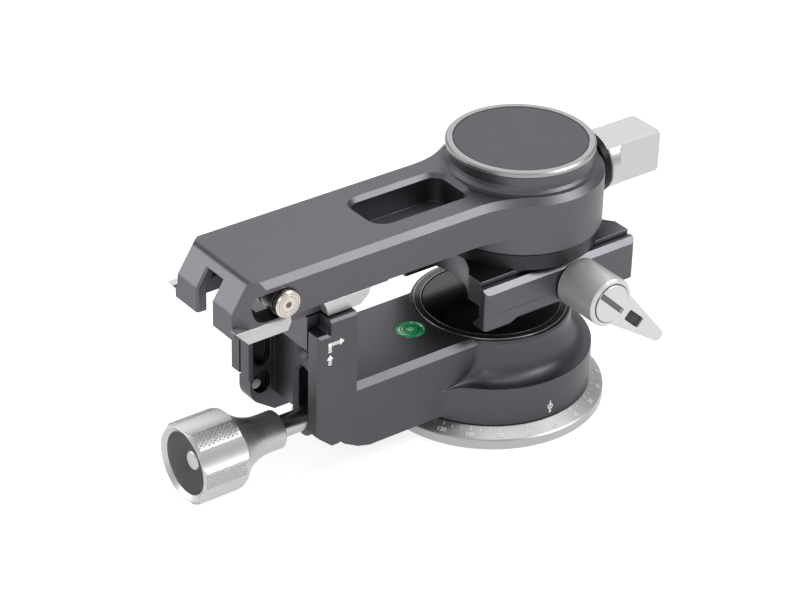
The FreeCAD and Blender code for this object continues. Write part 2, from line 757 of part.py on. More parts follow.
def make_pivot_head():
    inner = swing_half_w + sliding_gap
    length = pivot_head_out_y - inner
    profile = [(0, 0), (pivot_head_r, 0), (pivot_head_r, length - pivot_head_edge),
               (pivot_head_r - pivot_head_edge, length), (0, length)]
    head = lathe(profile, (pivot_x, -inner, pivot_z), -ALONG_Y)
    flat = pivot_socket_r * 2 / math.sqrt(3)
    corners = [(pivot_x + flat * math.cos(math.radians(60 * i)), -pivot_head_out_y - cut_over,
                pivot_z + flat * math.sin(math.radians(60 * i))) for i in range(6)]
    socket = prism(corners, (0, cut_over + pivot_socket_depth, 0))
    return head.cut(socket)


def make_slide_block():
    """A round block on the pivot pin, which slides along the slot in the swing arm's side."""
    outer, inner = -swing_half_w + side_band_depth, -cavity_half_w - free_gap
    solid = rod(side_slot_half_h - sliding_gap, (pivot_x, outer, pivot_z), (pivot_x, inner, pivot_z))
    bore = rod(pivot_r + fit_gap, (pivot_x, outer - cut_over, pivot_z), (pivot_x, inner + cut_over, pivot_z))
    return solid.cut(bore)


# ---- Swing arm ----

def swing_hub():
    """The hub below the arm's sides, and above its top up to the cap."""
    low = lathe([(0, swing_hub_bottom_z), (swing_hub_r - swing_hub_edge, swing_hub_bottom_z),
                 (swing_hub_r, swing_hub_bottom_z + swing_hub_edge), (swing_hub_r, swing_side_bottom_z),
                 (0, swing_side_bottom_z)], (tilt_x, 0, 0))
    step = swing_hub_r - arm_chamfer - neck_r
    profile = [(0, neck_top_z), (0, swing_top_z)]
    for number in range(curve_steps + 1):
        turn = math.pi / 2 * number / curve_steps
        radius = neck_r + step * (1 - math.sin(turn))
        profile.append((radius, swing_top_z + neck_curve_h * (1 - math.cos(turn))))
    profile.append((neck_r, neck_top_z))
    return [low, lathe(profile, (tilt_x, 0, 0))]


def swing_blend():
    """Where the arm's sides and top chamfers run into the hub."""
    band_half_w, edge_z = swing_half_w - side_band_depth, swing_top_z - arm_chamfer
    low = hub_outline(swing_hub_r, swing_half_w, swing_blend_r, edge_z, tilt_x)
    top_r, top_half_w = swing_hub_r - arm_chamfer, swing_half_w - arm_chamfer
    high = hub_outline(top_r, top_half_w, swing_blend_r, swing_top_z, tilt_x)
    return [
        hub_slab(swing_hub_r, band_half_w, swing_blend_r, (swing_side_bottom_z, side_band_z), tilt_x),
        hub_slab(swing_hub_r, swing_half_w, swing_blend_r, (side_band_z, edge_z), tilt_x),
        Part.makeLoft([low, high], True, True),
    ]


def make_beam():
    """The swing arm's straight part: a sloped, rounded end, chamfered edges and a recessed lower band."""
    outline = [(swing_end_x, swing_side_bottom_z), (tilt_x, swing_side_bottom_z), (tilt_x, swing_top_z),
               (swing_end_top_x, swing_top_z), (swing_end_x, swing_slope_z)]
    beam = side_prism(outline, (-swing_half_w, swing_half_w))
    across = edges_where(beam, lambda b: b.YLength > swing_half_w and b.XMin < swing_end_top_x + cut_over
                         and b.ZMin > swing_slope_z - cut_over)
    beam = beam.makeFillet(swing_end_round, across)
    slope = Vec(swing_end_top_x - swing_end_x, 0, swing_top_z - swing_slope_z)
    up = Vec(slope).normalize()
    into_slope = Vec(up.z, 0, -up.x)
    low_corner = Vec(swing_end_x, -swing_half_w, swing_slope_z) - up * swing_corner
    wedges = [
        wedge((swing_end_x, -swing_half_w, swing_core_z), (ALONG_X, ALONG_Y), swing_corner,
              (0, 0, swing_top_z - swing_core_z)),
        wedge(low_corner, (into_slope, ALONG_Y), swing_corner, up * (slope.Length + 2 * swing_corner)),
        wedge((swing_end_x - cut_over, -swing_half_w, swing_top_z), (ALONG_Y, -ALONG_Z), arm_chamfer,
              (tilt_x - swing_end_x, 0, 0)),
        block((side_band_x, tilt_x), (-swing_half_w - cut_over, -swing_half_w + side_band_depth),
              (swing_side_bottom_z - cut_over, side_band_z)),
    ]
    root_x = tilt_x - swing_hub_r / 2
    reach = swing_half_w + cut_over
    root = block((root_x, tilt_x + cut_over), (-reach, reach), (swing_core_z, swing_top_z + cut_over))
    return less(beam, both_sides(wedges) + [root])


def cavity():
    """The room for the link's eye, whose front follows the end's slope."""
    rise, run = swing_top_z - swing_slope_z, swing_end_top_x - swing_end_x
    offset = cavity_end_wall * math.hypot(rise, run) / rise
    front_x = cavity_x[0]
    turn_z = swing_slope_z + (front_x - swing_end_x - offset) * rise / run
    top_x = swing_end_x + offset + (cavity_top_z - swing_slope_z) * run / rise
    outline = [(front_x, swing_core_z - cut_over), (front_x, turn_z), (top_x, cavity_top_z),
               (cavity_x[1], cavity_top_z), (cavity_x[1], swing_core_z - cut_over)]
    return side_prism(outline, (-cavity_half_w, cavity_half_w))


def tip_slot():
    """The slot in the arm's end, which is open below, with a chamfer along its edges."""
    up = Vec(swing_end_top_x - swing_end_x, 0, swing_top_z - swing_slope_z).normalize()
    into_slope = Vec(up.z, 0, -up.x)
    slope_run = up * ((cavity_top_z - swing_slope_z) / up.z)
    slot = block((swing_end_x - cut_over, cavity_x[0] + swing_corner), (-tip_slot_half_w, tip_slot_half_w),
                 (swing_core_z - cut_over, cavity_top_z))
    rims = [wedge((swing_end_x, tip_slot_half_w, swing_core_z - cut_over), (ALONG_X, ALONG_Y), tip_slot_rim,
                  (0, 0, swing_slope_z - swing_core_z + cut_over)),
            wedge((swing_end_x, tip_slot_half_w, swing_slope_z), (into_slope, ALONG_Y), tip_slot_rim,
                  slope_run)]
    return [slot] + both_sides(rims)


def top_pocket():
    """The long pocket in the arm's top, with a chamfered rim."""
    low_half = top_pocket_half_w - top_pocket_chamfer
    x_span = (top_pocket_x[0] + top_pocket_chamfer, top_pocket_x[1])
    well = block(x_span, (-low_half, low_half), (top_pocket_floor_z, swing_top_z + cut_over))
    well = well.makeFillet(top_pocket_corner, edges_where(well, lambda b: b.ZLength > top_pocket_chamfer))
    rise = top_pocket_chamfer + cut_over
    mouth_low = block(x_span, (-low_half, low_half), (swing_top_z - top_pocket_chamfer, swing_top_z))
    mouth_low = mouth_low.makeFillet(top_pocket_corner, edges_where(mouth_low, lambda b: b.ZLength > fit_gap))
    wide = block((x_span[0] - rise, x_span[1] + rise), (-low_half - rise, low_half + rise),
                 (swing_top_z, swing_top_z + cut_over))
    upright_edges = edges_where(wide, lambda b: b.ZLength > fit_gap)
    wide = wide.makeFillet(top_pocket_corner + rise, upright_edges)
    low_wire = [f for f in mouth_low.Faces if f.BoundBox.ZMax < swing_top_z - free_gap][0].OuterWire
    high_wire = [f for f in wide.Faces if f.BoundBox.ZMin > swing_top_z + free_gap][0].OuterWire
    return joined([well, Part.makeLoft([low_wire, high_wire], True, True)])


def make_swing_arm():
    core = block((swing_end_x, swing_core_rear_x), (-swing_core_half_w, swing_core_half_w),
                 (swing_core_z, swing_side_bottom_z))
    boss_end_x = tilt_lock_collar_x[0] - sliding_gap
    lock_boss = rod(tilt_lock_boss_r, (tilt_x, 0, tilt_lock_z), (boss_end_x, 0, tilt_lock_z))
    body = joined([make_beam(), core] + swing_blend() + swing_hub() + [lock_boss])
    slot_y = (-swing_half_w - cut_over, swing_half_w + cut_over)
    shoe_end_x = tilt_x + tilt_spindle_r + shoe_l + cut_over
    cuts = [
        top_pocket(),
        cavity(),
        side_obround(side_slot_half_h, ((side_slot_far_x, pivot_z), (pivot_x, pivot_z)), slot_y),
        rod(tilt_bearing_r, (tilt_x, 0, 0), (tilt_x, 0, lower_tilt_bearing_z + bearing_h)),
        rod(tilt_spindle_r + free_gap, (tilt_x, 0, 0), (tilt_x, 0, neck_top_z)),
        rod(tilt_bearing_r, (tilt_x, 0, upper_tilt_bearing_z), (tilt_x, 0, neck_top_z + cut_over)),
        rod(shoe_r + running_gap, (tilt_x, 0, tilt_lock_z), (shoe_end_x, 0, tilt_lock_z)),
        rod(tilt_lock_stud_r + running_gap, (tilt_x, 0, tilt_lock_z),
            (boss_end_x + cut_over, 0, tilt_lock_z)),
    ]
    return less(body, cuts + tip_slot())


def make_rail(x_span, low_end_bevel, high_end_bevel):
    """The -Y rail along the arm's lower edge, bevelled below at each end."""
    outline = [(-swing_core_half_w, swing_side_bottom_z)]
    outline += [(-swing_half_w - out, swing_side_bottom_z + down) for out, down in rail_steps]
    top_z, low_z = outline[1][1], outline[-1][1]
    outline.append((-swing_core_half_w, low_z))
    rail = end_prism(outline, x_span)
    cuts = []
    for end_x, inward, bevel in ((x_span[0], 1, low_end_bevel), (x_span[1], -1, high_end_bevel)):
        slant = [(end_x - inward, top_z), (end_x, top_z), (end_x + inward * bevel, low_z),
                 (end_x + inward * bevel, low_z - cut_over), (end_x - inward, low_z - cut_over)]
        cuts.append(side_prism(slant, (-2 * swing_half_w, 0)))
    return less(rail, cuts)


def make_tilt_cap_ring():
    ring_top = make_cap_ring(tilt_cap_r, tilt_cap_ring_w, (tilt_cap_z, tilt_cap_top_z), tilt_x, tilt_cap_edge)
    web = rod(tilt_cap_r - tilt_cap_ring_w, (tilt_x, 0, tilt_cap_z), (tilt_x, 0, tilt_cap_z + tilt_cap_floor))
    spigot_r = tilt_bearing_r - fit_gap
    spigot = ring(spigot_r - tilt_spigot_w, spigot_r, (tilt_spigot_z, tilt_cap_z), tilt_x)
    return joined([ring_top, web, spigot])


def make_tilt_cap_disc():
    radius = tilt_cap_r - tilt_cap_ring_w - cap_line
    low_z = tilt_cap_z + tilt_cap_floor + fit_gap
    return rod(radius, (tilt_x, 0, low_z), (tilt_x, 0, tilt_cap_top_z - paint_gap))


def make_tilt_brake_shoe():
    start = tilt_x + tilt_spindle_r
    shoe = rod(shoe_r, (start, 0, tilt_lock_z), (start + shoe_l, 0, tilt_lock_z))
    return shoe.cut(rod(tilt_spindle_r + shoe_gap, (tilt_x, 0, 0), (tilt_x, 0, neck_top_z)))


def make_tilt_lock_collar():
    low, high = tilt_lock_collar_x
    bore, inner = tilt_lock_stud_r + fit_gap, tilt_lock_collar_r - collar_edge_r
    return lathe([(bore, 0), (inner, 0), (tilt_lock_collar_r, collar_edge_r),
                  (tilt_lock_collar_r, high - low - collar_edge_r), (inner, high - low), (bore, high - low)],
                 (low, 0, tilt_lock_z), ALONG_X)


def make_tilt_lock_wing():
    """A round grip with flats above, below and at its sides; the side flats stop short of the collar."""
    low = tilt_lock_collar_x[1]
    length = wing_end_x - low
    wing = lathe([(0, 0), (wing_r - collar_edge_r, 0), (wing_r, collar_edge_r), (wing_r, length - wing_edge),
                  (wing_r - wing_edge, length), (0, length)], (low, 0, tilt_lock_z), ALONG_X)
    reach = 2 * wing_r
    across, along = (-reach, reach), (low - cut_over, wing_end_x + cut_over)
    low_z, high_z = tilt_lock_z - reach, tilt_lock_z + reach
    cuts = [block(along, across, (tilt_lock_z + wing_half_h, high_z)),
            block(along, across, (low_z, tilt_lock_z - wing_half_h))]
    side_flat = block((wing_flat_x, along[1]), (-reach, -wing_half_w), (low_z, high_z))
    cutter_y = -wing_half_w - wing_cutter_r
    run_out = rod(wing_cutter_r, (wing_flat_x, cutter_y, low_z), (wing_flat_x, cutter_y, high_z))
    socket_end = (low + knob_socket, 0, tilt_lock_z)
    socket = rod(tilt_lock_stud_r + fit_gap, (low - cut_over, 0, tilt_lock_z), socket_end)
    return less(wing, cuts + both_sides([side_flat, run_out]) + [socket])


def make_tilt_lock_stud():
    start = tilt_x + tilt_spindle_r + shoe_l + free_gap
    end = tilt_lock_collar_x[1] + knob_socket - free_gap
    return rod(tilt_lock_stud_r, (start, 0, tilt_lock_z), (end, 0, tilt_lock_z))


# ---- Clamp, which turns on the tilt axis ----

def make_rotor_flange():
    disc = ring(tilt_spindle_r + fit_gap, rotor_r, rotor_z, tilt_x)
    land = ring(tilt_spindle_r + fit_gap, tilt_spindle_r + race_land,
                (rotor_z[1], lower_tilt_bearing_z - sliding_gap), tilt_x)
    return joined([disc, land])


def make_tilt_spindle():
    shaft = rod(tilt_spindle_r, (tilt_x, 0, clamp_bottom_z + fit_gap), (tilt_x, 0, tilt_spindle_top_z))
    head = rod(spindle_head_r - fit_gap, (tilt_x, 0, clamp_bottom_z + fit_gap),
               (tilt_x, 0, clamp_bottom_z + spindle_head_h))
    return joined([shaft, head])


def make_tilt_retainer():
    low = upper_tilt_bearing_z + bearing_h + free_gap
    return ring(tilt_spindle_r + fit_gap, tilt_spindle_r + retainer_wall, (low, low + retainer_h), tilt_x)


def clamp_plan():
    """Half-round dished ends between two straight sides."""
    far_x, near_x = clamp_x + clamp_half_l, clamp_x - clamp_half_l
    y_flat = clamp_end_flat_y

    def end(x, direction):
        dip = Vec(x - direction * clamp_end_dip, 0, 0)
        return Part.Arc(Vec(x, y_flat, 0), dip, Vec(x, -y_flat, 0)).toShape()

    def side(points):
        return Part.makePolygon([Vec(x, y, 0) for x, y in points]).Edges

    edges = [end(far_x, 1)]
    edges += side([(far_x, -y_flat), (far_x, -clamp_half_w), (near_x, -clamp_half_w), (near_x, -y_flat)])
    edges += [end(near_x, -1)]
    edges += side([(near_x, y_flat), (near_x, clamp_half_w), (far_x, clamp_half_w), (far_x, y_flat)])
    return Part.Wire(Part.__sortEdges__(edges))


def make_clamp_body():
    plan = Part.Face(clamp_plan())
    plan.translate(Vec(0, 0, clamp_bottom_z))
    body = plan.extrude(Vec(0, 0, rotor_z[0] - clamp_bottom_z))
    seat_x = (tilt_x - seat_half_l, tilt_x + seat_half_l)
    seat = block(seat_x, (-seat_half_w, seat_half_w), (seat_z, clamp_bottom_z))
    side_y = -clamp_half_w - cut_over
    head_top_z = clamp_bottom_z + spindle_head_h + fit_gap
    cuts = [
        rod(tilt_spindle_r + fit_gap, (tilt_x, 0, clamp_bottom_z), (tilt_x, 0, rotor_z[1])),
        rod(spindle_head_r, (tilt_x, 0, clamp_bottom_z), (tilt_x, 0, head_top_z)),
        rod(lever_stud_r + sliding_gap, (lever_x, side_y, lever_z),
            (lever_x, lever_stud_end_y + free_gap, lever_z)),
    ]
    for x in guide_spots():
        end_y = -clamp_half_w + guide_depth + guide_room
        cuts.append(rod(guide_r + running_gap, (x, side_y, guide_z), (x, end_y, guide_z)))
    return less(joined([body, seat]), cuts)


def guide_spots():
    return (tilt_x - guide_offset, tilt_x + guide_offset)


def jaw_blank(inner_y):
    """The -Y jaw: a plate with a bevelled top edge and a dovetail lip, arched below in the middle."""
    outer = inner_y + jaw_t
    outline = [(-inner_y, jaw_top_z), (-outer + jaw_bevel, jaw_top_z), (-outer, jaw_top_z - jaw_bevel),
               (-outer, jaw_bottom_z), (-jaw_lip_y, jaw_bottom_z), (-jaw_lip_y, jaw_lip_z),
               (-inner_y, dovetail_z)]
    jaw = end_prism(outline, (clamp_x - jaw_half_l, clamp_x + jaw_half_l))
    ends = edges_where(jaw, lambda b: b.ZLength > jaw_top_z - dovetail_z and b.YMax < -outer + fit_gap)
    jaw = jaw.makeFillet(jaw_end_round, ends)
    half_l, foot = jaw_arch_half_l, jaw_arch_half_l + jaw_arch_run
    low_z, arch_z = jaw_bottom_z, jaw_bottom_z + jaw_arch_h
    arch_outline = [(clamp_x - foot, low_z - cut_over), (clamp_x - foot, low_z),
                    (clamp_x - half_l, arch_z), (clamp_x + half_l, arch_z),
                    (clamp_x + foot, low_z), (clamp_x + foot, low_z - cut_over)]
    arch = side_prism(arch_outline, (-outer - cut_over, -outer + jaw_t / 2))
    return jaw.cut(arch)


def make_fixed_jaw():
    return mirrored(jaw_blank(clamp_half_w + fit_gap))


def make_sliding_jaw():
    jaw = jaw_blank(-clamp_near_y)
    outer_y = clamp_near_y - jaw_t - cut_over
    hole = rod(lever_stud_r + sliding_gap, (lever_x, outer_y, lever_z), (lever_x, 0, lever_z))
    pins = [guide_rod(guide_r + fit_gap, x, 0) for x in guide_spots()]
    return less(jaw, [hole] + pins)


def guide_rod(radius, x, end_gap):
    start_y = clamp_near_y - jaw_t * guide_share + end_gap
    return rod(radius, (x, start_y, guide_z), (x, -clamp_half_w + guide_depth, guide_z))


def make_guide_pin(x):
    return guide_rod(guide_r, x, fit_gap)


def make_lever_barrel():
    """The barrel and its flat, windowed handle, which lies flush with the barrel's outer end."""
    length = lever_inner_y - lever_front_y
    inner_r = lever_barrel_r - lever_edge
    barrel = lathe([(0, 0), (inner_r, 0), (lever_barrel_r, lever_edge), (lever_barrel_r, length - lever_edge),
                    (inner_r, length), (0, length)], (lever_x, lever_inner_y, lever_z), -ALONG_Y)
    run = Vec(lever_tip[0] - lever_x, 0, lever_tip[1] - lever_z)
    along = Vec(run).normalize()
    across = Vec(-along.z, 0, along.x)
    axis = Vec(lever_x, lever_front_y, lever_z)

    def bar(shares, half_widths):
        ends = [axis + run * share for share in shares]
        corners = [ends[0] + across * half_widths[0], ends[1] + across * half_widths[1],
                   ends[1] - across * half_widths[1], ends[0] - across * half_widths[0]]
        return prism(corners, (0, lever_t, 0))

    tip = Part.makeCylinder(lever_tip_half_w, lever_t, axis + run, ALONG_Y)
    handle = joined([bar((0, 1), (lever_root_half_w, lever_tip_half_w)), tip])
    window = bar(lever_window, (lever_window_half_w, lever_window_half_w))
    window = window.makeFillet(lever_window_round, edges_where(window, lambda b: b.YLength > lever_t - fit_gap
                                                               and b.XLength < fit_gap))
    seat_y, floor_y = lever_front_y - cut_over, lever_front_y + lever_screw_h
    seat = rod(lever_screw_r + fit_gap, (lever_x, seat_y, lever_z), (lever_x, floor_y, lever_z))
    end_y = lever_inner_y + cut_over
    stud_hole = rod(lever_stud_r + fit_gap, (lever_x, seat_y, lever_z), (lever_x, end_y, lever_z))
    return less(joined([barrel, handle]), [window, seat, stud_hole])


def make_lever_screw():
    out_y, in_y = lever_front_y - lever_edge, lever_front_y + lever_screw_h - fit_gap
    disc = rod(lever_screw_r, (lever_x, out_y, lever_z), (lever_x, in_y, lever_z))
    reach = lever_screw_r + cut_over
    slot = block((lever_x - reach, lever_x + reach), (out_y - cut_over, out_y + lever_slot_depth),
                 (lever_z - lever_slot_half_w, lever_z + lever_slot_half_w))
    return disc.cut(slot)


def make_clamp_stud():
    start_y = lever_front_y + lever_screw_h + fit_gap
    return rod(lever_stud_r, (lever_x, start_y, lever_z), (lever_x, lever_stud_end_y, lever_z))


def all_parts():
    parts = {
        "base_plate": make_base_plate(),
        "tripod_bushing": make_tripod_bushing(),
        "dial_ring": make_dial_ring(),
        "pan_spindle": make_pan_spindle(),
        "pan_retainer": make_pan_retainer(),
        "base_arm": make_base_arm(),
        "pan_bearing_lower": make_bearing(pan_spindle_r, pan_bearing_r, lower_pan_bearing_z),
        "pan_bearing_upper": make_bearing(pan_spindle_r, pan_bearing_r, upper_pan_bearing_z),
        "pan_cap_ring": make_pan_cap_ring(),
        "pan_cap_disc": make_pan_cap_disc(),
        "bubble_level": make_bubble_level(),
        "stop_pin": make_stop_pin(),
        "arm_link": make_arm_link(),
        "pan_brake_shoe": make_pan_brake_shoe(),
        "arm_lock_knob": make_arm_lock_knob(),
        "arm_lock_stud": make_arm_lock_stud(),
        "pan_lock_knob": make_pan_lock_knob(),
        "pan_lock_stud": make_pan_lock_stud(),
        "pivot_pin": make_pivot_pin(),
        "pivot_head_near": make_pivot_head(),
        "pivot_head_far": mirrored(make_pivot_head()),
        "slide_block_near": make_slide_block(),
        "slide_block_far": mirrored(make_slide_block()),
        "swing_arm": make_swing_arm(),
        "front_rail_near": make_rail(front_rail_x, rail_end_bevel, rail_inner_bevel),
        "front_rail_far": mirrored(make_rail(front_rail_x, rail_end_bevel, rail_inner_bevel)),
        "rear_rail_near": make_rail(rear_rail_x, rail_inner_bevel, rail_end_bevel),
        "rear_rail_far": mirrored(make_rail(rear_rail_x, rail_inner_bevel, rail_end_bevel)),
        "tilt_bearing_lower": make_bearing(tilt_spindle_r, tilt_bearing_r, lower_tilt_bearing_z, tilt_x),
        "tilt_bearing_upper": make_bearing(tilt_spindle_r, tilt_bearing_r, upper_tilt_bearing_z, tilt_x),
        "tilt_cap_ring": make_tilt_cap_ring(),
        "tilt_cap_disc": make_tilt_cap_disc(),
        "tilt_brake_shoe": make_tilt_brake_shoe(),
        "tilt_lock_collar": make_tilt_lock_collar(),
        "tilt_lock_wing": make_tilt_lock_wing(),
        "tilt_lock_stud": make_tilt_lock_stud(),
        "tilt_spindle": make_tilt_spindle(),
        "tilt_retainer": make_tilt_retainer(),
        "rotor_flange": make_rotor_flange(),
        "clamp_body": make_clamp_body(),
        "fixed_jaw": make_fixed_jaw(),
        "sliding_jaw": make_sliding_jaw(),
        "lever_barrel": make_lever_barrel(),
        "lever_screw": make_lever_screw(),
        "clamp_stud": make_clamp_stud(),
    }
    for number, (x, y) in enumerate(base_screw_spots(), 1):
        parts[f"base_screw_{number}"] = make_base_screw(x, y)
    for number, x in enumerate(guide_spots(), 1):
        parts[f"guide_pin_{number}"] = make_guide_pin(x)
    return parts


os.makedirs("parts", exist_ok=True)
for name, shape in all_parts().items():
    solid = shape.Solids[0] if len(shape.Solids) == 1 else shape
    solid.exportStep(f"parts/{name}.step")
    print(f"{name}: {len(shape.Solids)} solid, {shape.Volume:.1f} mm3, valid {shape.isValid()}")
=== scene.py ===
# Folding gimbal tripod head: finishes, small parts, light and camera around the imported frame.
import json
import math

import bpy
from mathutils import Matrix, Vector

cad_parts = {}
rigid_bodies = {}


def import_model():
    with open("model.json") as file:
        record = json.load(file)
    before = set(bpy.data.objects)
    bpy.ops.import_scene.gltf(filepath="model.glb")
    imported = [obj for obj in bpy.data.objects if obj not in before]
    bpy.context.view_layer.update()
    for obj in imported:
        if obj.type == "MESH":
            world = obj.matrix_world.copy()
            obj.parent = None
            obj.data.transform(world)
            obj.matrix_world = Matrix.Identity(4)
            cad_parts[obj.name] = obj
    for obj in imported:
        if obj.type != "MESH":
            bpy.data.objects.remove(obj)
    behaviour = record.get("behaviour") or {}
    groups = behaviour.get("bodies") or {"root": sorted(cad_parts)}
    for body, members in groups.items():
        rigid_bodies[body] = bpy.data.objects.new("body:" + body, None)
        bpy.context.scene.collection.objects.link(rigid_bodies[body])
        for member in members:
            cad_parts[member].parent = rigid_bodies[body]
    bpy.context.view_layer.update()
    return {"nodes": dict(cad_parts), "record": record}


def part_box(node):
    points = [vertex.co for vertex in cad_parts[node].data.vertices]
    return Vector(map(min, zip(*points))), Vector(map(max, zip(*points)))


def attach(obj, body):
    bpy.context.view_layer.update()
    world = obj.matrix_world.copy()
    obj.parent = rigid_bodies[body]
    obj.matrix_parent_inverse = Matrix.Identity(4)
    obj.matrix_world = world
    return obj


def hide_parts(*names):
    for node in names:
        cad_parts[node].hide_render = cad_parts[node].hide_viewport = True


mm = 0.001
levelNormal = 0.9    # a level face's normal reaches at least this far along Z
axisRadius = 0.02    # where a turned piece's profile closes at its axis, in mm
weldDistance = 0.01  # in mm
textSteps = 3        # how finely a letter's curves are cut
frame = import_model()
nodes = frame["nodes"]
print("frame loaded,", len(nodes), "nodes")


def clearSelection():
    for other in bpy.data.objects:
        other.select_set(False)
    bpy.context.view_layer.objects.active = None


def nameActive(name):
    made = bpy.context.active_object
    made.name = name
    made.data.name = name
    return made


def selectOnly(piece):
    clearSelection()
    piece.select_set(True)
    bpy.context.view_layer.objects.active = piece


def setPlace(piece):  # puts the place into the mesh, so the object sits at the origin
    selectOnly(piece)
    bpy.ops.object.transform_apply(location=True, rotation=True, scale=True)


def applyAll(piece):
    selectOnly(piece)
    for modifier in list(piece.modifiers):
        bpy.ops.object.modifier_apply(modifier=modifier.name)


def joinPieces(pieces, name):
    clearSelection()
    for piece in pieces:
        piece.select_set(True)
    bpy.context.view_layer.objects.active = pieces[0]
    bpy.ops.object.join()
    return nameActive(name)


def copyPiece(piece):
    copy = piece.copy()
    copy.data = piece.data.copy()
    bpy.context.scene.collection.objects.link(copy)
    return copy


def outwardFaces(piece):
    selectOnly(piece)
    bpy.ops.object.mode_set(mode="EDIT")
    bpy.ops.mesh.select_all(action="SELECT")
    bpy.ops.mesh.normals_make_consistent(inside=False)
    bpy.ops.object.mode_set(mode="OBJECT")


def smoothBy(piece, degrees=30):
    selectOnly(piece)
    bpy.ops.object.shade_smooth_by_angle(angle=math.radians(degrees))


def selectFaces(piece, test):  # leaves the piece in edit mode, with the faces that pass selected
    selectOnly(piece)
    bpy.ops.object.mode_set(mode="EDIT")
    bpy.ops.mesh.select_mode(type="FACE")
    bpy.ops.mesh.select_all(action="DESELECT")
    bpy.ops.object.mode_set(mode="OBJECT")
    for face in piece.data.polygons:
        face.select = test(face)
    bpy.ops.object.mode_set(mode="EDIT")


def moveInto(piece, place, turn=(0, 0, 0)):
    piece.location = [c * mm for c in place]
    piece.rotation_euler = [math.radians(a) for a in turn]
    setPlace(piece)


def wrapBy(piece, rule):  # lays a flat piece on a surface: rule takes a place in mm and gives one
    for vertex in piece.data.vertices:
        vertex.co = Vector(rule(*(vertex.co / mm))) * mm


def turnedPiece(name, profile, segments=96):
    # profile is (radius, height) in mm, up the outside and in to the middle, with a straight side first
    (firstRadius, firstHeight), (nowRadius, nowHeight) = profile[:2]
    clearSelection()
    bpy.ops.mesh.primitive_cylinder_add(vertices=segments, radius=firstRadius * mm,
                                        depth=(nowHeight - firstHeight) * mm,
                                        location=(0, 0, (firstHeight + nowHeight) / 2 * mm))
    piece = nameActive(name)
    setPlace(piece)
    selectFaces(piece, lambda face: face.normal.z > levelNormal)
    for radius, height in profile[2:]:
        rise = (height - nowHeight) * mm
        bpy.ops.mesh.extrude_region_move(TRANSFORM_OT_translate={"value": (0, 0, rise)})
        scale = radius / nowRadius
        bpy.ops.transform.resize(value=(scale, scale, 1), center_override=(0, 0, height * mm))
        nowRadius, nowHeight = radius, height
    bpy.ops.object.mode_set(mode="OBJECT")
    outwardFaces(piece)
    return piece


def ringPiece(name, innerRadius, outerRadius, lowZ, highZ, segments=128):
    clearSelection()
    bpy.ops.mesh.primitive_cylinder_add(vertices=segments, radius=outerRadius * mm,
                                        depth=(highZ - lowZ) * mm,
                                        location=(0, 0, (lowZ + highZ) / 2 * mm))
    piece = nameActive(name)
    setPlace(piece)
    selectFaces(piece, lambda face: abs(face.normal.z) > levelNormal)
    bpy.ops.mesh.inset(thickness=(outerRadius - innerRadius) * mm)
    bpy.ops.mesh.bridge_edge_loops()
    bpy.ops.object.mode_set(mode="OBJECT")
    outwardFaces(piece)
    return piece


def cutWith(piece, cutter):
    cut = piece.modifiers.new("cut", "BOOLEAN")
    cut.operation = "DIFFERENCE"
    cut.solver = "EXACT"
    cut.object = cutter
    applyAll(piece)
    bpy.data.objects.remove(cutter)


def bevelEdges(piece, width, segments=2, degrees=40):
    bevel = piece.modifiers.new("edges", "BEVEL")
    bevel.width = width * mm
    bevel.segments = segments
    bevel.limit_method = "ANGLE"
    bevel.angle_limit = math.radians(degrees)
    applyAll(piece)


def flatBar(width, height, x, y):
    clearSelection()
    bpy.ops.mesh.primitive_plane_add(size=1, location=(x * mm, y * mm, 0))
    bar = bpy.context.active_object
    bar.scale = (width * mm, height * mm, 1)
    setPlace(bar)
    return bar


def flatTip(width, height, x, y, turn=0):  # an arrow's tip, which points up unturned
    tip = flatBar(width, height, 0, 0)
    for vertex in tip.data.vertices:
        if vertex.co.y > 0:
            vertex.co.x = 0
    selectOnly(tip)
    bpy.ops.object.mode_set(mode="EDIT")
    bpy.ops.mesh.select_all(action="SELECT")
    bpy.ops.mesh.remove_doubles(threshold=weldDistance * mm)
    bpy.ops.object.mode_set(mode="OBJECT")
    moveInto(tip, (x, y, 0), (0, 0, turn))
    return tip


def thicken(piece, thickness):
    wall = piece.modifiers.new("wall", "SOLIDIFY")
    wall.thickness = thickness * mm
    wall.offset = 0
    applyAll(piece)
    outwardFaces(piece)


def textPiece(words, size, thickness):
    clearSelection()
    bpy.ops.object.text_add(location=(0, 0, 0))
    letters = bpy.context.active_object
    letters.data.body = words
    letters.data.size = size * mm
    letters.data.extrude = thickness / 2 * mm
    letters.data.align_x = "CENTER"
    letters.data.align_y = "CENTER"
    letters.data.resolution_u = textSteps
    bpy.ops.object.convert(target="MESH")
    return bpy.context.active_object


def finishPiece(piece, body, material, standsFor=()):
    piece.data.materials.clear()
    piece.data.materials.append(material)
    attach(piece, body)
    if standsFor:
        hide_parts(*standsFor)


def boxInMm(node):
    return [Vector(corner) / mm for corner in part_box(node)]


def newMaterial(name):
    material = bpy.data.materials.new(name)
    material.use_nodes = True
    tree = material.node_tree
    shader = tree.nodes["Principled BSDF"]
    return material, tree, shader


def objectCoords(tree, turn=(0, 0, 0), shift=(0, 0, 0)):
    coords = tree.nodes.new("ShaderNodeTexCoord")
    mapping = tree.nodes.new("ShaderNodeMapping")
    mapping.inputs["Rotation"].default_value = turn
    mapping.inputs["Location"].default_value = shift
    tree.links.new(coords.outputs["Object"], mapping.inputs["Vector"])
    return mapping.outputs["Vector"]


def noiseNode(tree, vector, scale, detail):
    noise = tree.nodes.new("ShaderNodeTexNoise")
    noise.inputs["Scale"].default_value = scale
    noise.inputs["Detail"].default_value = detail
    tree.links.new(vector, noise.inputs["Vector"])
    return noise.outputs["Fac"]


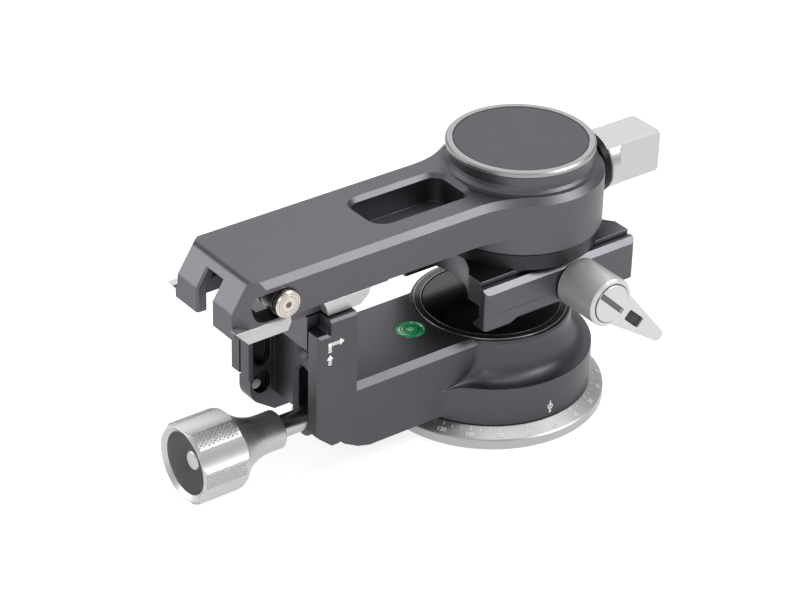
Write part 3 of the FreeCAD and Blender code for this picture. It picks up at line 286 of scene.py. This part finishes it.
def rangeNode(tree, value, low, high, fromLow=0.0, fromHigh=1.0):
    mapRange = tree.nodes.new("ShaderNodeMapRange")
    mapRange.inputs["From Min"].default_value = fromLow
    mapRange.inputs["From Max"].default_value = fromHigh
    mapRange.inputs["To Min"].default_value = low
    mapRange.inputs["To Max"].default_value = high
    tree.links.new(value, mapRange.inputs["Value"])
    return mapRange.outputs["Result"]


def mixColours(tree, factor, first, second):
    # a Mix node's colours are its inputs 6 and 7 and its output 2
    mix = tree.nodes.new("ShaderNodeMix")
    mix.data_type = "RGBA"
    for socket, colour in ((mix.inputs[6], first), (mix.inputs[7], second)):
        if isinstance(colour, tuple):
            socket.default_value = (*colour, 1)
        else:
            tree.links.new(colour, socket)
    tree.links.new(factor, mix.inputs[0])
    return mix.outputs[2]


# what the materials share: a cloud is a noise's scale and detail, lengths are in metres, and the wear numbers
# set how edges are painted lighter, for wear and as a painted highlight
shading = {
    "bevelSamples": 4, "wearHighlightFrom": 0.995, "wearHighlightTo": 0.85, "wearHighlightMost": 0.8,
    "cloud": (60, 4), "grainDetail": 2, "grainStrength": 0.35, "grainDepth": 0.00001, "skinEdge": 0.0002,
    "turnedCloud": (80, 3), "turnDetail": 2, "turnStrength": 0.5, "turnDepth": 0.000006,
    "turnedEdge": 0.00015,
    "inkCloud": (900, 2), "inkDark": 0.86,
    "vialCloud": (300, 2), "vialRough": 0.12, "vialCoat": 0.6, "vialCoatRough": 0.04,
}


def roundedNormal(tree, radius):  # eases sharp edges over a small radius, so they catch the light
    bevel = tree.nodes.new("ShaderNodeBevel")
    bevel.samples = shading["bevelSamples"]
    bevel.inputs["Radius"].default_value = radius
    return bevel.outputs["Normal"]


def edgeMask(tree, normal):  # 1 at edges, which are painted lighter for wear and as a painted highlight, and 0 on flat faces
    geometry = tree.nodes.new("ShaderNodeNewGeometry")
    product = tree.nodes.new("ShaderNodeVectorMath")
    product.operation = "DOT_PRODUCT"
    tree.links.new(geometry.outputs["Normal"], product.inputs[0])
    tree.links.new(normal, product.inputs[1])
    return rangeNode(tree, product.outputs["Value"], 1.0, 0.0, shading["wearHighlightTo"], shading["wearHighlightFrom"])


def bumpNode(tree, height, strength, distance, normal):
    bump = tree.nodes.new("ShaderNodeBump")
    bump.inputs["Strength"].default_value = strength
    bump.inputs["Distance"].default_value = distance
    tree.links.new(height, bump.inputs["Height"])
    tree.links.new(normal, bump.inputs["Normal"])
    return bump.outputs["Normal"]


def anodised(name, dark, light, rough, grain=2600, wearAndHighlight=1.5, metallic=1.0):
    # a dyed or bare metal skin with fine blasted grain, cloudy gloss and edges painted lighter, for wear and
    # as a painted highlight
    material, tree, shader = newMaterial(name)
    coords = objectCoords(tree)
    cloud = noiseNode(tree, coords, *shading["cloud"])
    fine = noiseNode(tree, coords, grain, shading["grainDetail"])
    rounded = roundedNormal(tree, shading["skinEdge"])
    skin = mixColours(tree, cloud, dark, light)
    # edges are painted in this lighter colour: wear plus a painted highlight
    wornAndHighlit = tuple(min(shading["wearHighlightMost"], c * wearAndHighlight) for c in light)
    bumped = bumpNode(tree, fine, shading["grainStrength"], shading["grainDepth"], rounded)
    tree.links.new(mixColours(tree, edgeMask(tree, rounded), skin, wornAndHighlit), shader.inputs["Base Color"])
    tree.links.new(rangeNode(tree, cloud, *rough), shader.inputs["Roughness"])
    tree.links.new(bumped, shader.inputs["Normal"])
    shader.inputs["Metallic"].default_value = metallic
    return material


def turnedMetal(name, colour, shade, shift, rough, turn=(0, 0, 0), pitch=9000, metallic=1.0):
    # fine turning rings: turn and shift, in metres, bring the axis onto Z, and the distance from it
    # drives thin noise
    material, tree, shader = newMaterial(name)
    coords = objectCoords(tree, turn=turn, shift=shift)
    split = tree.nodes.new("ShaderNodeSeparateXYZ")
    tree.links.new(coords, split.inputs["Vector"])
    flat = tree.nodes.new("ShaderNodeCombineXYZ")
    tree.links.new(split.outputs["X"], flat.inputs["X"])
    tree.links.new(split.outputs["Y"], flat.inputs["Y"])
    length = tree.nodes.new("ShaderNodeVectorMath")
    length.operation = "LENGTH"
    tree.links.new(flat.outputs["Vector"], length.inputs[0])
    rings = tree.nodes.new("ShaderNodeCombineXYZ")
    tree.links.new(length.outputs["Value"], rings.inputs["X"])
    tree.links.new(split.outputs["Z"], rings.inputs["Y"])
    lines = noiseNode(tree, rings.outputs["Vector"], pitch, shading["turnDetail"])
    cloud = noiseNode(tree, coords, *shading["turnedCloud"])
    rounded = roundedNormal(tree, shading["turnedEdge"])
    bumped = bumpNode(tree, lines, shading["turnStrength"], shading["turnDepth"], rounded)
    tree.links.new(mixColours(tree, lines, shade, colour), shader.inputs["Base Color"])
    tree.links.new(rangeNode(tree, cloud, *rough), shader.inputs["Roughness"])
    tree.links.new(bumped, shader.inputs["Normal"])
    shader.inputs["Metallic"].default_value = metallic
    return material


def inkPaint(name, colour, rough=0.5):
    material, tree, shader = newMaterial(name)
    coords = objectCoords(tree)
    cloud = noiseNode(tree, coords, *shading["inkCloud"])
    darker = tuple(c * shading["inkDark"] for c in colour)
    tree.links.new(mixColours(tree, cloud, darker, colour), shader.inputs["Base Color"])
    shader.inputs["Roughness"].default_value = rough
    return material


def vialLiquid(name, colour, deep):
    material, tree, shader = newMaterial(name)
    coords = objectCoords(tree)
    cloud = noiseNode(tree, coords, *shading["vialCloud"])
    tree.links.new(mixColours(tree, cloud, deep, colour), shader.inputs["Base Color"])
    shader.inputs["Roughness"].default_value = shading["vialRough"]
    shader.inputs["Coat Weight"].default_value = shading["vialCoat"]
    shader.inputs["Coat Roughness"].default_value = shading["vialCoatRough"]
    return material


alongX = (0, math.radians(-90), 0)  # turns X onto Z
alongY = (math.radians(90), 0, 0)   # turns Y onto Z
tiltAxisShift = (-0.0088, 0, 0)
anodisedGrey = anodised("anodisedGrey", (0.103, 0.1, 0.11), (0.119, 0.115, 0.127), (0.4, 0.47))
# the base arm's finish is the anodised grey made darker: painted shade from the swing arm above it
baseArmShadeGrey = anodised("baseArmShadeGrey", (0.08, 0.077, 0.086), (0.094, 0.09, 0.101), (0.4, 0.47))
glossBlack = anodised("glossBlack", (0.034, 0.034, 0.037), (0.041, 0.041, 0.044), (0.18, 0.26))
flangeBlack = anodised("flangeBlack", (0.036, 0.035, 0.039), (0.045, 0.043, 0.048), (0.36, 0.44))
# the clamp's edges are painted lighter still: wear plus a painted highlight on its chamfers
clampGrey = anodised("clampGrey", (0.094, 0.092, 0.102), (0.107, 0.105, 0.116), (0.34, 0.42), wearAndHighlight=2.4)
blastedSilver = anodised("blastedSilver", (0.39, 0.385, 0.385), (0.44, 0.43, 0.43), (0.36, 0.44),
                         grain=5200, wearAndHighlight=1.15, metallic=0.9)
satinSilver = anodised("satinSilver", (0.43, 0.425, 0.425), (0.49, 0.48, 0.48), (0.32, 0.4),
                       grain=3400, wearAndHighlight=1.2, metallic=0.9)
machinedSteel = anodised("machinedSteel", (0.44, 0.43, 0.42), (0.5, 0.49, 0.48), (0.24, 0.32),
                         grain=3000, wearAndHighlight=1.2)
# dark steel for the slide blocks, also used as painted shade on the lever screw's slot floor
darkSteelAndShade = anodised("darkSteelAndShade", (0.1, 0.1, 0.1), (0.14, 0.135, 0.13), (0.3, 0.4))
brassGold = anodised("brassGold", (0.5, 0.36, 0.16), (0.58, 0.43, 0.2), (0.28, 0.36))
knobBlack = anodised("knobBlack", (0.014, 0.014, 0.015), (0.02, 0.02, 0.022), (0.34, 0.42))
capRingSilver = turnedMetal("capRingSilver", (0.36, 0.35, 0.355), (0.28, 0.275, 0.28), tiltAxisShift,
                            (0.36, 0.44))
capDiscGrey = turnedMetal("capDiscGrey", (0.083, 0.08, 0.091), (0.073, 0.07, 0.08), tiltAxisShift,
                          (0.36, 0.42), pitch=5200)
panRingGrey = turnedMetal("panRingGrey", (0.075, 0.075, 0.078), (0.06, 0.06, 0.063), (0, 0, 0),
                          (0.3, 0.36))
knobSilver = turnedMetal("knobSilver", (0.54, 0.53, 0.525), (0.46, 0.45, 0.445), (0.0135, 0, 0),
                         (0.34, 0.42), turn=alongX, metallic=0.9)
wingSilver = turnedMetal("wingSilver", (0.5, 0.49, 0.49), (0.43, 0.42, 0.42), (0.066, 0, 0),
                         (0.32, 0.4), turn=alongX, metallic=0.9)
# the lever's silver is lighter than the other silvers: painted light for its brightly lit barrel
leverSilverLit = turnedMetal("leverSilverLit", (0.58, 0.565, 0.565), (0.5, 0.49, 0.49), (-0.0144, 0.0428, 0),
                          (0.36, 0.44), turn=alongY, metallic=0.6)
pinSteel = turnedMetal("pinSteel", (0.6, 0.55, 0.5), (0.5, 0.46, 0.42), (0.0859, 0.0674, 0),
                       (0.2, 0.28), turn=alongY)
whiteInk = inkPaint("whiteInk", (0.8, 0.8, 0.78))
dialInk = inkPaint("dialInk", (0.86, 0.86, 0.84), 0.4)
lineBlack = inkPaint("lineBlack", (0.012, 0.012, 0.013))
vialGreen = vialLiquid("vialGreen", (0.03, 0.46, 0.17), (0.012, 0.32, 0.1))
vialRim = vialLiquid("vialRim", (0.05, 0.36, 0.17), (0.025, 0.22, 0.1))
vialDark = vialLiquid("vialDark", (0.004, 0.08, 0.03), (0.002, 0.05, 0.018))
# the air bubble's lighter green is a painted highlight
bubbleHighlight = vialLiquid("bubbleHighlight", (0.2, 0.62, 0.34), (0.12, 0.5, 0.24))
print("materials made")

# a node takes its slot's finish, unless it has one of its own
slotOf = {s["node"]: s["material_slot"] for s in frame["record"]["subparts"]}
finishOfSlot = {
    "body": anodisedGrey, "disc": glossBlack, "silver": satinSilver, "dial": blastedSilver,
    "steel": machinedSteel, "clamp": clampGrey, "bubble": vialGreen, "brass": brassGold,
}
finishOfNode = {
    "tilt_cap_ring": capRingSilver, "tilt_cap_disc": capDiscGrey, "pan_cap_ring": panRingGrey,
    "arm_lock_knob": knobSilver, "tilt_lock_wing": wingSilver, "tilt_lock_collar": knobBlack,
    "lever_barrel": leverSilverLit, "slide_block_near": darkSteelAndShade, "slide_block_far": darkSteelAndShade,
    "base_arm": baseArmShadeGrey, "rotor_flange": flangeBlack,
}
for nodeName, piece in nodes.items():
    piece.data.materials.clear()
    piece.data.materials.append(finishOfNode.get(nodeName, finishOfSlot[slotOf[nodeName]]))
print(len(nodes), "nodes finished")

# the degree scale on the dial's cone: numbers every 15 degrees, ticks every 5
dialScale = {
    "rimRadius": 35.0, "rimZ": 3.45, "topRadius": 30.9, "topZ": 5.6, "zero": -31.5,
    "numberStep": 15, "numberSize": 1.95, "numberUp": 1.55,
    "tickStep": 5, "tickFrom": 3.1, "shortTick": 0.75, "longTick": 1.2, "tickWidth": 0.17, "thickness": 0.04,
}


def layOnDial(piece, angle):  # y runs up the cone from its rim and z out of it
    run = dialScale["rimRadius"] - dialScale["topRadius"]
    rise = dialScale["topZ"] - dialScale["rimZ"]
    slant = math.hypot(run, rise)

    def onCone(x, y, z):
        radius = dialScale["rimRadius"] - (y * run - z * rise) / slant
        height = dialScale["rimZ"] + (y * rise + z * run) / slant
        turn = math.radians(angle) + x / radius
        return radius * math.cos(turn), radius * math.sin(turn), height

    wrapBy(piece, onCone)


def makeDialScale():
    marks = []
    for degrees in range(0, 360, dialScale["tickStep"]):
        angle = dialScale["zero"] - degrees
        isLong = degrees % dialScale["numberStep"] == 0
        tickLength = dialScale["longTick"] if isLong else dialScale["shortTick"]
        tick = flatBar(dialScale["tickWidth"], tickLength, 0, dialScale["tickFrom"] + tickLength / 2)
        thicken(tick, dialScale["thickness"])
        layOnDial(tick, angle)
        marks.append(tick)
        if isLong:
            number = textPiece(str(degrees), dialScale["numberSize"], dialScale["thickness"])
            for vertex in number.data.vertices:
                vertex.co.y += dialScale["numberUp"] * mm
            layOnDial(number, angle)
            marks.append(number)
    scale = joinPieces(marks, "dialScale")
    finishPiece(scale, "base", dialInk)


makeDialScale()
print("dial scale made")

# the index mark on the hub: a ring on a bar with a tip that points down at the scale
indexMark = {
    "radius": 30.7, "angle": -91.3, "centreZ": 9.3, "ringInner": 0.62, "ringOuter": 0.92, "ringSteps": 32,
    "barWidth": 0.28, "barHalf": 1.9, "tipWidth": 0.95, "tipHeight": 0.9, "thickness": 0.06,
}


def makeIndexMark():
    mark = indexMark
    ring = ringPiece("indexRing", mark["ringInner"], mark["ringOuter"], -mark["thickness"] / 2,
                     mark["thickness"] / 2, segments=mark["ringSteps"])
    bar = flatBar(mark["barWidth"], 2 * mark["barHalf"], 0, 0)
    thicken(bar, mark["thickness"])
    tip = flatTip(mark["tipWidth"], mark["tipHeight"], 0, -mark["barHalf"], 180)
    thicken(tip, mark["thickness"])
    whole = joinPieces([ring, bar, tip], "indexMark")

    def onHub(x, y, z):
        turn = math.radians(mark["angle"]) + x / mark["radius"]
        radius = mark["radius"] + z
        return radius * math.cos(turn), radius * math.sin(turn), mark["centreZ"] + y

    wrapBy(whole, onHub)
    finishPiece(whole, "pan_body", whiteInk)


makeIndexMark()

# two plain arrows on the upright's near cheek that show which way the arm folds
cheekArrows = {
    "faceY": -19.8, "x": -72.6, "thickness": 0.05, "stripe": 0.42, "gap": 0.24, "shaft": 1.15,
    "tipWidth": 2.3, "tipHeight": 1.5, "tipGap": 0.35, "endTipBack": 0.9, "stripes": 3, "endStripes": 4,
    "upFrom": 43.9, "elbowFrom": 48.0, "elbowTop": 50.25, "elbowEnd": -67.6,
}


def makeCheekArrows():
    arrow = cheekArrows
    pitch = arrow["stripe"] + arrow["gap"]
    stripes = [flatBar(arrow["shaft"], arrow["stripe"], arrow["x"], startZ + step * pitch)
               for startZ in (arrow["upFrom"], arrow["elbowFrom"]) for step in range(arrow["stripes"])]
    upEnd = arrow["upFrom"] + arrow["stripes"] * pitch + arrow["tipGap"]
    stripes.append(flatTip(arrow["tipWidth"], arrow["tipHeight"], arrow["x"], upEnd))
    stripes.append(flatBar(arrow["shaft"], arrow["shaft"], arrow["x"], arrow["elbowTop"]))
    elbowStart = arrow["x"] + arrow["shaft"] / 2 + arrow["gap"] + arrow["stripe"] / 2
    stripes += [flatBar(arrow["stripe"], arrow["shaft"], elbowStart + step * pitch, arrow["elbowTop"])
                for step in range(arrow["endStripes"])]
    endX = arrow["elbowEnd"] - arrow["endTipBack"]
    stripes.append(flatTip(arrow["tipWidth"], arrow["tipHeight"], endX, arrow["elbowTop"], -90))
    whole = joinPieces(stripes, "cheekArrows")
    thicken(whole, arrow["thickness"])
    wrapBy(whole, lambda x, y, z: (x, arrow["faceY"] - z, y))
    outwardFaces(whole)
    finishPiece(whole, "pan_body", whiteInk)


makeCheekArrows()
print("index mark and arrows made")

# the bubble level: rim, liquid, two lines and an air bubble, whose lighter green is a painted highlight
bubbleLevel = {
    "place": (-30.8, -1.2, 0), "bubbleShift": (0.35, -0.2),
    "rim": [(4.68, 26.5), (4.68, 31.1), (4.5, 31.4), (4.3, 31.48), (4.05, 31.4), (3.9, 31.1),
            (axisRadius, 31.1)],
    "liquid": [(3.88, 30.9), (3.88, 31.12), (3.6, 31.24), (2.6, 31.36), (1.4, 31.42), (axisRadius, 31.45)],
    "lines": ((2.55, 2.8, 31.3, 31.41), (1.55, 1.75, 31.35, 31.45)),
    "bubble": [(1.15, 31.3), (1.15, 31.42), (0.95, 31.47), (0.5, 31.49), (axisRadius, 31.5)],
    "lineSteps": 64, "bubbleSteps": 48,
}


def makeBubbleLevel():
    level = bubbleLevel
    rim = turnedPiece("vialRim", level["rim"])
    liquid = turnedPiece("vialLiquid", level["liquid"])
    lines = joinPieces([ringPiece("vialLine", *sizes, segments=level["lineSteps"])
                        for sizes in level["lines"]], "vialLines")
    bubble = turnedPiece("airBubble", level["bubble"], segments=level["bubbleSteps"])
    x, y, z = level["place"]
    shiftX, shiftY = level["bubbleShift"]
    for piece in (rim, liquid, lines):
        moveInto(piece, (x, y, z))
        smoothBy(piece)
    moveInto(bubble, (x + shiftX, y + shiftY, z))
    smoothBy(bubble)
    finishPiece(rim, "pan_body", vialRim, ["bubble_level"])
    finishPiece(liquid, "pan_body", vialGreen)
    finishPiece(lines, "pan_body", vialDark)
    finishPiece(bubble, "pan_body", bubbleHighlight)


makeBubbleLevel()

# bright chamfers on the pan cap's ring and the dark seam round the tilt cap's disc
capLines = {
    "panInner": (20.62, 20.86, 30.6, 30.82), "panOuter": (22.72, 22.99, 30.55, 30.82),
    "tiltSeam": (19.42, 19.7, 81.6, 82.02), "tiltX": 8.8, "steps": 160, "edge": 0.06,
}


def makeCapLines():
    steps = capLines["steps"]
    for name, sizes in (("panCapInnerEdge", "panInner"), ("panCapOuterEdge", "panOuter")):
        edge = ringPiece(name, *capLines[sizes], segments=steps)
        bevelEdges(edge, capLines["edge"], 1)
        smoothBy(edge)
        finishPiece(edge, "pan_body", machinedSteel)
    seam = ringPiece("tiltCapSeam", *capLines["tiltSeam"], segments=steps)
    moveInto(seam, (capLines["tiltX"], 0, 0))
    smoothBy(seam)
    finishPiece(seam, "swing", lineBlack)


makeCapLines()
print("level and cap lines made")

# diamond knurling on the six lands of the arm lock knob
knurling = {
    "axisZ": 13.5, "startX": -108.0, "radius": 11.94, "height": 0.26, "halfLength": 0.78, "halfWidth": 0.5,
    "tipShare": 0.25, "along": 9, "around": 5, "lands": 6,
}


def makeKnurling():
    cut = knurling
    diamonds = []
    for row in range(2 * cut["around"] - 1):
        isBetween = row % 2
        y = (row - cut["around"] + 1) * cut["halfWidth"]
        for column in range(cut["along"] - isBetween):
            x = (2 * column + isBetween) * cut["halfLength"]
            diamonds.append((x, y))
    clearSelection()
    bpy.ops.mesh.primitive_cone_add(vertices=4, radius1=mm, radius2=cut["tipShare"] * mm,
                                    depth=cut["height"] * mm, location=(0, 0, cut["height"] / 2 * mm))
    diamond = nameActive("knurlDiamond")
    diamond.scale = (cut["halfLength"], cut["halfWidth"], 1)
    setPlace(diamond)
    copies = []
    for x, y in diamonds:
        copy = copyPiece(diamond)
        copy.location = (x * mm, y * mm, 0)
        copies.append(copy)
    bpy.data.objects.remove(diamond)
    land = joinPieces(copies, "knurlLand")
    setPlace(land)
    lands = []
    for step in range(cut["lands"]):
        copy = copyPiece(land)
        angle = math.radians(360 / cut["lands"] * step)

        def onKnob(x, y, z):
            turn = angle + y / cut["radius"]
            radius = cut["radius"] + z
            return cut["startX"] + x, radius * math.cos(turn), cut["axisZ"] + radius * math.sin(turn)

        wrapBy(copy, onKnob)
        lands.append(copy)
    bpy.data.objects.remove(land)
    knurl = joinPieces(lands, "knobKnurling")
    outwardFaces(knurl)
    finishPiece(knurl, "arm_lock", satinSilver)


makeKnurling()

# the round boss in the arm lock knob's bore, which stands nearly up to the mouth
knobBoss = {
    "profile": [(2.9, 0), (2.9, 4.3), (2.6, 4.6), (axisRadius, 4.6)], "steps": 64, "place": (-101.2, 0, 13.5),
}


def makeKnobBoss():
    boss = turnedPiece("knobBoss", knobBoss["profile"], segments=knobBoss["steps"])
    smoothBy(boss)
    moveInto(boss, knobBoss["place"], (0, -90, 0))
    finishPiece(boss, "arm_lock", knobSilver)


makeKnobBoss()

# fine ribs round the tilt knob's black collar
collarRibs = {"count": 56, "radius": 9.42, "rib": (2.3, 0.5, 0.34), "centre": (35.5, 0, 66.0), "edge": 0.08}


def makeCollarRibs():
    ribs = collarRibs
    clearSelection()
    bpy.ops.mesh.primitive_cube_add(size=mm)
    rib = nameActive("collarRib")
    rib.scale = ribs["rib"]
    setPlace(rib)
    bevelEdges(rib, ribs["edge"], 1)
    copies = []
    centre = Vector(ribs["centre"])
    for step in range(ribs["count"]):
        copy = copyPiece(rib)
        angle = math.radians(360 / ribs["count"] * step)
        copy.location = (centre + Vector((0, -math.sin(angle), math.cos(angle))) * ribs["radius"]) * mm
        copy.rotation_euler = (angle, 0, 0)
        copies.append(copy)
    bpy.data.objects.remove(rib)
    whole = joinPieces(copies, "collarRibs")
    setPlace(whole)
    finishPiece(whole, "tilt_lock", knobBlack)


makeCollarRibs()
print("knurling and ribs made")

# the pivot's heads: a round head with two turned grooves and a hexagon socket
pivotHead = {
    "edge": 0.35, "grooves": ((3.35, 3.1), (2.5, 2.3)), "grooveDepth": 0.16, "grooveRun": 0.05, "steps": 64,
    "socketAcross": 1.75, "socketDepth": 1.0,
}


def makePivotHead(node, side):
    low, high = boxInMm(node)
    radius = (high.x - low.x) / 2
    height = high.y - low.y
    edge, run = pivotHead["edge"], pivotHead["grooveRun"]
    grooveZ = height - pivotHead["grooveDepth"]
    profile = [(radius, 0), (radius, height - edge), (radius - edge, height)]
    for outer, inner in pivotHead["grooves"]:
        profile += [(outer, height), (outer - run, grooveZ), (inner + run, grooveZ), (inner, height)]
    profile.append((axisRadius, height))
    head = turnedPiece("pivotHead" + side, profile, segments=pivotHead["steps"])
    clearSelection()
    bpy.ops.mesh.primitive_cylinder_add(vertices=6, radius=pivotHead["socketAcross"] / math.sqrt(3) * mm,
                                        depth=2 * pivotHead["socketDepth"] * mm, location=(0, 0, height * mm))
    socket = nameActive("hexSocket")
    setPlace(socket)
    cutWith(head, socket)
    smoothBy(head)
    baseY, turn = (high.y, 90) if side == "Near" else (low.y, -90)
    moveInto(head, ((low.x + high.x) / 2, baseY, (low.z + high.z) / 2), (turn, 0, 0))
    finishPiece(head, "pivot", pinSteel, [node])


makePivotHead("pivot_head_near", "Near")
makePivotHead("pivot_head_far", "Far")

# the lever's screw: a flat disc with a driver slot across it
leverScrew = {"edge": 0.2, "slotWidth": 1.7, "slotDepth": 0.6, "slotAngle": 43.5}


def makeLeverScrew():
    low, high = boxInMm("lever_screw")
    radius = (high.x - low.x) / 2
    height = high.y - low.y
    profile = [(radius, 0), (radius, height - leverScrew["edge"]), (radius - leverScrew["edge"], height),
               (axisRadius, height)]
    screw = turnedPiece("leverScrew", profile)
    clearSelection()
    bpy.ops.mesh.primitive_cube_add(size=1, location=(0, 0, height * mm))
    slot = nameActive("screwSlot")
    slot.scale = (3 * radius * mm, leverScrew["slotWidth"] * mm, 2 * leverScrew["slotDepth"] * mm)
    slot.rotation_euler = (0, 0, math.radians(-leverScrew["slotAngle"]))
    setPlace(slot)
    cutWith(screw, slot)
    smoothBy(screw)
    moveInto(screw, ((low.x + high.x) / 2, high.y, (low.z + high.z) / 2), (90, 0, 0))
    finishPiece(screw, "lever", leverSilverLit, ["lever_screw"])


makeLeverScrew()

# the seam round the lever's screw, a dark sheet on the floor of its slot that paints the slot's shade, and
# the dark inlay in the handle's window
leverTrim = {
    "axis": (14.4, 42.8), "seam": (5.92, 6.2), "seamY": (-37.63, -37.3),
    "slotShade": (10.8, 1.64), "slotShadeThickness": 0.08, "slotShadeY": -37.52,
    "handleTurn": -42.35, "inlayAt": 12.47, "inlay": (7.6, 3.5), "inlayY": (-37.0, -35.0), "inlayEdge": 0.5,
}


def makeLeverTrim():
    trim = leverTrim
    x, z = trim["axis"]
    seam = ringPiece("leverSeam", *trim["seam"], 0, trim["seamY"][1] - trim["seamY"][0])
    moveInto(seam, (x, trim["seamY"][1], z), (90, 0, 0))
    # a dark sheet on the slot's floor: painted shade in the slot
    slotShade = flatBar(*trim["slotShade"], 0, 0)
    thicken(slotShade, trim["slotShadeThickness"])
    slotShade.name = slotShade.data.name = "leverSlotShade"
    moveInto(slotShade, (x, trim["slotShadeY"], z), (90, leverScrew["slotAngle"], 0))
    clearSelection()
    bpy.ops.mesh.primitive_cube_add(size=mm)
    inlay = nameActive("leverInlay")
    inlay.scale = (trim["inlay"][0], trim["inlay"][1], trim["inlayY"][1] - trim["inlayY"][0])
    setPlace(inlay)
    bevelEdges(inlay, trim["inlayEdge"])
    turn = math.radians(trim["handleTurn"])
    inlayX, inlayZ = x + trim["inlayAt"] * math.cos(turn), z + trim["inlayAt"] * math.sin(turn)
    moveInto(inlay, (inlayX, sum(trim["inlayY"]) / 2, inlayZ), (90, -trim["handleTurn"], 0))
    for piece, finish in ((seam, lineBlack), (slotShade, darkSteelAndShade), (inlay, lineBlack)):
        smoothBy(piece)
        finishPiece(piece, "lever", finish)


makeLeverTrim()

# the thin black line along the near jaw: painted shade that stands for a shallow groove
jawGrooveShade = {
    "faceY": -21.8, "z": 41.4, "start": -15.6, "end": 5.6, "width": 0.22, "thickness": 0.05, "edge": 0.02,
}


def makeJawLine():
    start, end = jawGrooveShade["start"], jawGrooveShade["end"]
    line = flatBar(end - start, jawGrooveShade["width"], (start + end) / 2, jawGrooveShade["z"])
    thicken(line, jawGrooveShade["thickness"])
    bevelEdges(line, jawGrooveShade["edge"], 1)
    line.name = line.data.name = "jawGrooveShade"
    wrapBy(line, lambda x, y, z: (x, jawGrooveShade["faceY"] - z, y))
    outwardFaces(line)
    finishPiece(line, "jaw", lineBlack)


makeJawLine()
print("pivot heads, lever screw and jaw line made")

# the studio, in metres: a pale floor that glows a little and five square lights
studio = {
    "floorSize": 6.0, "floorColour": (0.4, 0.4, 0.4), "floorRough": 0.9, "floorGlow": 0.78,
    "worldColour": (1.0, 1.0, 1.0), "worldStrength": 0.5,
    "topLight": dict(place=(0.1, 0.15, 1.2), aim=(-0.03, 0, 0.04), size=0.8, power=6),
    "backLight": dict(place=(0.52, 0.7, 0.86), aim=(-0.03, 0, 0.05), size=0.8, power=2.9),
    "rightLight": dict(place=(0.69, -0.7, 0.96), aim=(-0.03, 0, 0.05), size=0.5, power=9.6),
    "leftLight": dict(place=(-0.85, 0.8, 0.36), aim=(-0.06, 0, 0.06), size=0.6, power=5.4),
    "frontLight": dict(place=(-0.85, -0.62, 0.62), aim=(-0.06, 0, 0.04), size=0.55, power=2.9),
}


def makeLight(name, place, aim, size, power):
    data = bpy.data.lights.new(name, "AREA")
    data.shape = "SQUARE"
    data.size = size
    data.energy = power
    lamp = bpy.data.objects.new(name, data)
    bpy.context.scene.collection.objects.link(lamp)
    lamp.location = place
    lamp.rotation_euler = (Vector(aim) - Vector(place)).to_track_quat("-Z", "Y").to_euler()


clearSelection()
bpy.ops.mesh.primitive_plane_add(size=studio["floorSize"], location=(0, 0, 0))
floor = nameActive("floor")
floorMaterial, _, floorShader = newMaterial("paleFloor")
floorShader.inputs["Base Color"].default_value = (*studio["floorColour"], 1)
floorShader.inputs["Roughness"].default_value = studio["floorRough"]
floorShader.inputs["Emission Color"].default_value = (1, 1, 1, 1)
floorShader.inputs["Emission Strength"].default_value = studio["floorGlow"]
floor.data.materials.append(floorMaterial)
for lightName in ("topLight", "backLight", "rightLight", "leftLight", "frontLight"):
    makeLight(lightName, **studio[lightName])
world = bpy.context.scene.world or bpy.data.worlds.new("studioWorld")
bpy.context.scene.world = world
world.use_nodes = True
background = world.node_tree.nodes["Background"]
background.inputs["Color"].default_value = (*studio["worldColour"], 1)
background.inputs["Strength"].default_value = studio["worldStrength"]
bpy.context.scene.view_settings.view_transform = "Standard"
print("studio set")

# the camera looks at its target from a distance, both in mm
cameraView = {
    "target": (-33.72, 0.0, 41.7), "distance": 824.09, "azimuth": -37.32, "elevation": 31.02, "roll": 1.45,
    "lens": 128.25, "sensor": 36.0, "clip": (0.01, 20),
}


def makeCamera():
    azimuth = math.radians(cameraView["azimuth"])
    elevation = math.radians(cameraView["elevation"])
    level = math.cos(elevation)
    back = Vector((math.sin(azimuth) * level, -math.cos(azimuth) * level, math.sin(elevation)))
    right = Vector((math.cos(azimuth), math.sin(azimuth), 0))
    up = back.cross(right)
    roll = math.radians(cameraView["roll"])
    turnedRight = right * math.cos(roll) + up * math.sin(roll)
    turnedUp = up * math.cos(roll) - right * math.sin(roll)
    data = bpy.data.cameras.new("studioCamera")
    data.lens, data.sensor_width = cameraView["lens"], cameraView["sensor"]
    data.sensor_fit = "HORIZONTAL"
    data.clip_start, data.clip_end = cameraView["clip"]
    camera = bpy.data.objects.new("studioCamera", data)
    bpy.context.scene.collection.objects.link(camera)
    place = Vector(cameraView["target"]) * mm + back * cameraView["distance"] * mm
    camera.matrix_world = Matrix((
        (turnedRight.x, turnedUp.x, back.x, place.x),
        (turnedRight.y, turnedUp.y, back.y, place.y),
        (turnedRight.z, turnedUp.z, back.z, place.z),
        (0, 0, 0, 1)))
    bpy.context.scene.camera = camera


makeCamera()
print("camera set")
